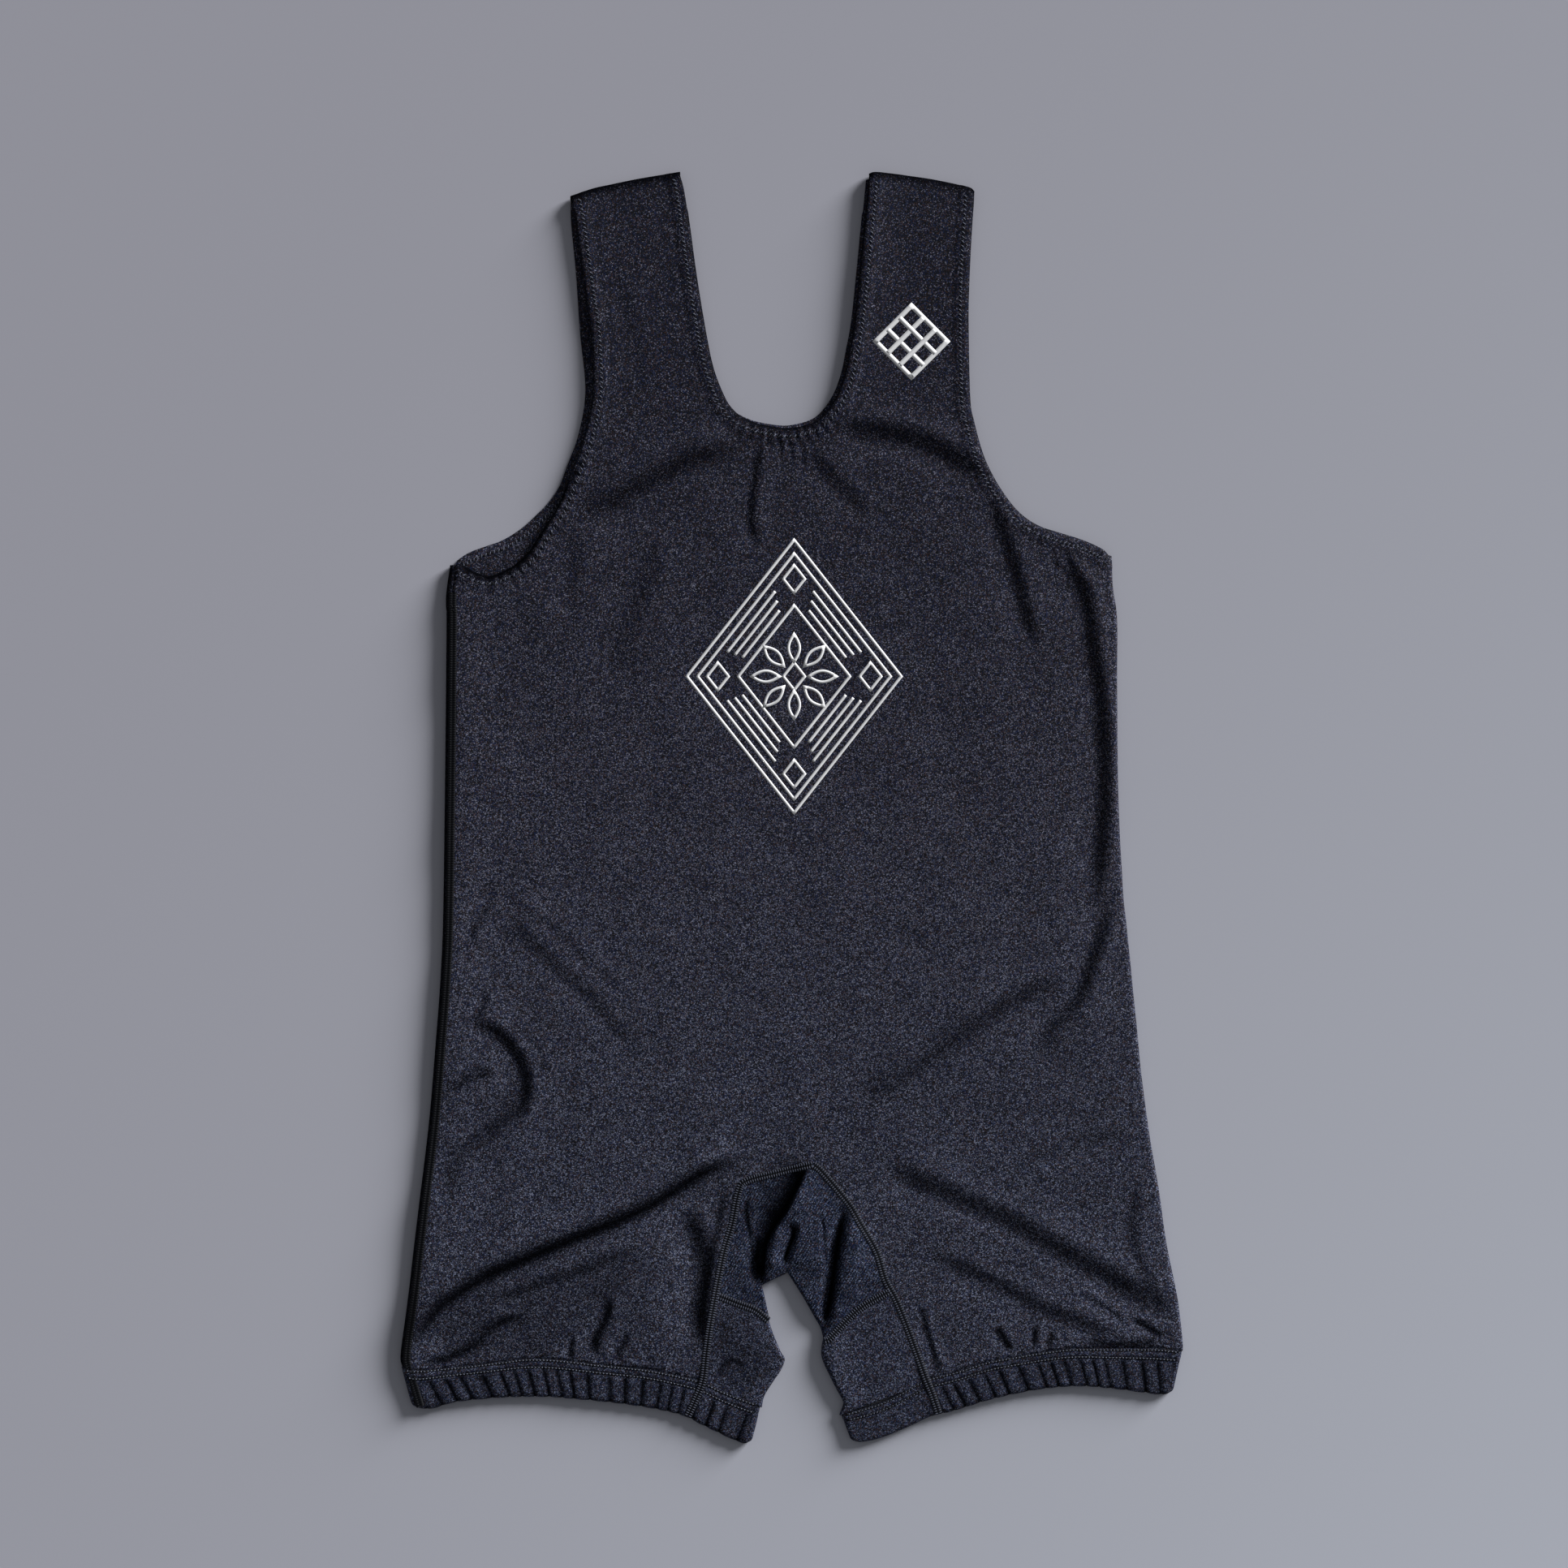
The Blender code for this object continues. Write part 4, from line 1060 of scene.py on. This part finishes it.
def flatlock(name, route):
    """A seam's flat band, and the loops of its two columns of stitches."""
    line = smooth_line(route, 1.0)
    sideways = to_left(line)
    offsets = np.array([-1.0, -0.86, -0.5, -0.1, 0.1, 0.5, 0.86, 1.0]) * BAND_HALF
    crown = np.array([-0.35, 0.10, 0.22, 0.10, 0.10, 0.22, 0.10, -0.35])
    rows = []
    for offset, rise in zip(offsets, crown):
        points = line + offset * sideways
        rows.append(np.column_stack([points, band_level(points) + rise]))
    made = np.vstack(rows)
    band = make_piece(name, made, facing_up(made, grid_faces(len(rows), len(line))), band_thread)
    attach(band, "root")
    fine = smooth_line(route, LOOP_PITCH)
    sideways = to_left(fine)
    starts, ends = [], []
    for column in (-COLUMN_AT, COLUMN_AT):
        for side, store in ((-LOOP_HALF, starts), (LOOP_HALF, ends)):
            points = fine + (column + side) * sideways
            store.append(np.column_stack([points, band_level(points) + LOOP_LIFT]))
    # Painted shade: the left side's loops take the dark band thread.
    shown = band_thread if name in SHADED_SEAMS else loop_thread
    stitches(name + "_loops", np.vstack(starts), np.vstack(ends), *LOOP, shown)


for seam_name, seam_route in SEAMS.items():
    flatlock(seam_name, seam_route)


# ---------------------------------------------------------------------------------------
# Stitching of the openings: a zigzag five millimetres in from each neck and armhole edge,
# on the front and on what shows of the back, sewn through the turned-in cloth.

ZIGZAG_PITCH = 2.8
ZIGZAG_HALF = 0.95
ZIGZAG_LIFT = 0.04
ZIG = (0.32, 0.14)
DIVE = (0.26, 0.02)  # the thread on its way back under the cloth


def zigzag(name, rows, inward, level, from_share=0.0, to_share=1.0):
    """A row of zigzag stitches along an opening's edge."""
    line = inset(smooth_line(rows, ZIGZAG_PITCH / 2), inward)
    line = line[int(from_share * len(line)) + 2:int(to_share * len(line)) - 2]
    swing = np.where(np.arange(len(line)) % 2, ZIGZAG_HALF, -ZIGZAG_HALF)[:, None]
    points = line + swing * to_left(line)
    places = np.column_stack([points, level(points) + CLOTH / 2 + ZIGZAG_LIFT])
    stitches(name, places[:-1:2], places[1::2], *ZIG, edge_thread)
    stitches(name + "_dives", places[1:-1:2], places[2::2], *DIVE, band_thread)


zigzag("zigzag_neck", NECK, -STITCH_IN, front_level)
zigzag("zigzag_left_armhole", LEFT_ARMHOLE, STITCH_IN, front_level)
zigzag("zigzag_right_armhole", RIGHT_ARMHOLE, -STITCH_IN, front_level)
zigzag("zigzag_back_armhole", LEFT_ARMHOLE_BACK, STITCH_IN, back_level, 0.55, 1.0)


# ---------------------------------------------------------------------------------------
# Hem stitching. Two straight rows of pale polyester thread on each hem, sewn through the doubled
# cloth and its elastic, with small gaps where the thread dives, and dark beads in those gaps as
# painted shade.

HEM_STITCH = 2.1  # pitch
HEM_STITCH_LONG = 0.90
HEM_STITCH_LIFT = 0.05
HEM_THREAD = (0.42, 0.16)
# Painted shade: dark beads in the dips between the hem's stitches.
DIP_SHADE = (0.74, 0.05)
SHARES = 20  # points to a stitch's pitch


def hem_stitches(name, rows):
    """The two rows of stitches on a hem, and dark beads between the stitches: painted shade in the
    dips.
    """
    raised = np.array([0.0, 0.0, CLOTH / 2 + HEM_STITCH_LIFT])
    starts, ends = [], []
    for place in ROW_PLACES:
        line = rows[round(place * (HEM_ROWS - 1))][4:-4]
        count = round(length_of(line[:, :2]) / HEM_STITCH)
        fine = spread(line, SHARES * count + 1) + raised
        starts.append(fine[:-1:SHARES])
        ends.append(fine[round(SHARES * HEM_STITCH_LONG / HEM_STITCH)::SHARES])
    starts, ends = np.vstack(starts), np.vstack(ends)
    stitches(name, starts, ends, *HEM_THREAD, pale_thread)
    gap = (ends - starts) * (HEM_STITCH - HEM_STITCH_LONG) / HEM_STITCH_LONG
    stitches(name + "_dip_shade", ends, ends + gap, *DIP_SHADE, band_thread)


hem_stitches("stitches_left_hem", left_rows)
hem_stitches("stitches_right_hem", right_rows)


# ---------------------------------------------------------------------------------------
# Prints. Thin matt white transfers pressed on the knit: a lozenge ornament in fine lines on
# the chest, and a small latticed diamond on the right strap.

CHEST_MIDDLE = (1.2, 80.5)
CHEST_HALF = (66.0, 84.0)
CHEST_LINE = 1.7
MARK_MIDDLE = (73.5, 286.8)
MARK_HALF = 22.0
MARK_LINE = 2.9
PRINT_LIFT = 0.05
PRINT_WALL = 0.10
PRINT_STEP = 1.3  # between the points of a printed line
LINE_LIFT = 0.004  # of each line above the one before, where they cross
PRINT_DARK = (0.80, 0.80, 0.82, 1.0)
PRINT_LIGHT = (0.97, 0.97, 0.98, 1.0)

white_print = grained_material("white_print", PRINT_DARK, PRINT_LIGHT, 900.0, 2.0, 0.25, 0.55, 0.5)


def lozenge(share, half=CHEST_HALF, middle=(0.0, 0.0)):
    """The closed outline of a lozenge."""
    wide, high = half[0] * share, half[1] * share
    x, y = middle
    return [(x, y + high), (x + wide, y), (x, y - high), (x - wide, y), (x, y + high)]


def petal(angle, near, far, half_wide):
    """A slender pointed leaf that stands off the middle."""
    along = np.array([math.cos(angle), math.sin(angle)])
    aside = np.array([-along[1], along[0]])
    rows = [(along * (near + (far - near) * t), aside * half_wide * math.sin(math.pi * t))
            for t in np.linspace(0, 1, 17)]
    return [spine + out for spine, out in rows] + [spine - out for spine, out in rows[-2::-1]]


def printed_lines(name, lines, middle, width):
    """Printed lines of even width that follow the front of the cloth."""
    corners, faces = [], []
    for order, line in enumerate(lines):
        points = np.array(line, float) + np.array(middle)
        dense = [points[0]]
        for start, end in zip(points, points[1:]):
            steps = max(1, round(np.linalg.norm(end - start) / PRINT_STEP))
            dense += [start + (end - start) * t for t in np.linspace(0, 1, steps + 1)[1:]]
        dense = np.array(dense)
        closed = np.allclose(dense[0], dense[-1])
        if closed:
            dense = dense[:-1]
            padded = np.vstack([dense[-1], dense, dense[0]])
        else:
            padded = np.vstack([2 * dense[0] - dense[1], dense, 2 * dense[-1] - dense[-2]])
        one, two = units(dense - padded[:-2]), units(padded[2:] - dense)
        mitre = units(np.column_stack([-(one + two)[:, 1], (one + two)[:, 0]]))
        lean = np.maximum(0.35, mitre[:, 0] * -one[:, 1] + mitre[:, 1] * one[:, 0])
        base = len(corners)
        for share in (-0.5, 0.5):
            edge = dense + mitre * (share * width / lean)[:, None]
            lifted = front_level(edge) + CLOTH / 2 + PRINT_LIFT + LINE_LIFT * order
            corners += np.column_stack([edge, lifted]).tolist()
        count = len(dense)
        for k in range(count if closed else count - 1):
            n = (k + 1) % count
            faces.append((base + k, base + n, base + count + n, base + count + k))
    corners = np.array(corners)
    piece = make_piece(name, corners, facing_up(corners, faces), white_print,
                       wall=PRINT_WALL, offset=-1.0)
    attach(piece, "root")
    return piece


chest_lines = [lozenge(1.0), lozenge(0.90), lozenge(0.52), lozenge(0.10)]
chest_lines += [petal(2 * math.pi * k / 8, 9.0, 26.0, 3.4) for k in range(8)]
chest_lines += [lozenge(0.10, middle=spot) for spot in ((0, 60), (0, -60), (47, 0), (-47, 0))]
for share in (0.62, 0.71, 0.80):
    for right, up in ((1, 1), (1, -1), (-1, 1), (-1, -1)):
        wide, high = right * CHEST_HALF[0] * share, up * CHEST_HALF[1] * share
        chest_lines.append([(wide * 0.78, high * 0.22), (wide * 0.22, high * 0.78)])
printed_lines("chest_print", chest_lines, CHEST_MIDDLE, CHEST_LINE)

mark_lines = [lozenge(1.0, half=(MARK_HALF, MARK_HALF))]
for share in (-0.333, 0.333):
    for up in (1, -1):
        mark_lines.append([(MARK_HALF * (share - 1) / 2, up * MARK_HALF * (share + 1) / 2),
                           (MARK_HALF * (share + 1) / 2, up * MARK_HALF * (share - 1) / 2)])
printed_lines("strap_print", mark_lines, MARK_MIDDLE, MARK_LINE)


# ---------------------------------------------------------------------------------------
# Floor, lights and camera. A pale surface with painted light on it, darker at the upper left and
# paler at the lower right, one broad low light from the upper right that rakes over the cloth, a
# weak even fill, and a camera straight above.

# Painted light: the floor's colour falls off from pale at the lower right to darker at the upper
# left.
FLOOR_DARK = (0.417, 0.417, 0.476, 1.0)  # at the upper left
FLOOR_PALE = (0.565, 0.590, 0.668, 1.0)  # at the lower right
FLOOR_FALL = (-0.97, 0.94)  # x less y in metres, at the dark and at the pale end
WINDOW_TURN = 50.0  # degrees round from +Y towards +X
WINDOW_RISE = 16.5  # degrees above the floor
WINDOW_WIDE = 27.0  # its apparent width in degrees
WINDOW_STRENGTH = 5.36
CAMERA_HEIGHT = 3.2
SENSOR = 36.0
FILL_COLOUR = (0.95, 0.97, 1.0, 1.0)
FILL_STRENGTH = 0.176
VIEW_WIDE = 0.966  # metres across the view at the height of the cloth's top
CLOTH_TOP = 0.004
CAMERA_ASIDE = (-0.005, 0.01425)  # of the camera from the garment's middle

bpy.ops.mesh.primitive_plane_add(size=8.0, location=(0.0, 0.0, -0.0002))
floor = bpy.context.object
floor.name = "floor"
paint = Nodes("floor_painted_falloff")
ways = paint.add("ShaderNodeSeparateXYZ", [("Vector", paint.place())])
fall = paint.work_out("SUBTRACT", ways[0], ways[1])
falloff_share = paint.work_out("POWER", paint.ramp(fall, *FLOOR_FALL), 2.0)
paint.link(paint.mix(falloff_share, FLOOR_DARK, FLOOR_PALE), "Base Color")
paint.shader.inputs["Roughness"].default_value = 0.85
paint.shader.inputs["Specular IOR Level"].default_value = 0.2
floor.data.materials.append(paint.material)

turn, rise = math.radians(WINDOW_TURN), math.radians(WINDOW_RISE)
comes_from = Vector((math.sin(turn) * math.cos(rise), math.cos(turn) * math.cos(rise),
                     math.sin(rise)))
window_data = bpy.data.lights.new("window_light", "SUN")
window_data.energy = WINDOW_STRENGTH
window_data.angle = math.radians(WINDOW_WIDE)
window = bpy.data.objects.new("window_light", window_data)
window.rotation_euler = comes_from.to_track_quat("Z", "Y").to_euler()
bpy.context.scene.collection.objects.link(window)

world = bpy.data.worlds.new("studio")
world.use_nodes = True
fill = world.node_tree.nodes["Background"]
fill.inputs["Color"].default_value = FILL_COLOUR
fill.inputs["Strength"].default_value = FILL_STRENGTH
bpy.context.scene.world = world
bpy.context.scene.view_settings.view_transform = "Standard"

camera_data = bpy.data.cameras.new("camera")
camera_data.sensor_width = SENSOR
camera_data.lens = SENSOR * CAMERA_HEIGHT / VIEW_WIDE
camera = bpy.data.objects.new("camera", camera_data)
camera.location = (MIDDLE[0] * MM + CAMERA_ASIDE[0], MIDDLE[1] * MM + CAMERA_ASIDE[1],
                   CLOTH_TOP + CAMERA_HEIGHT)
bpy.context.scene.collection.objects.link(camera)
bpy.context.scene.camera = camera
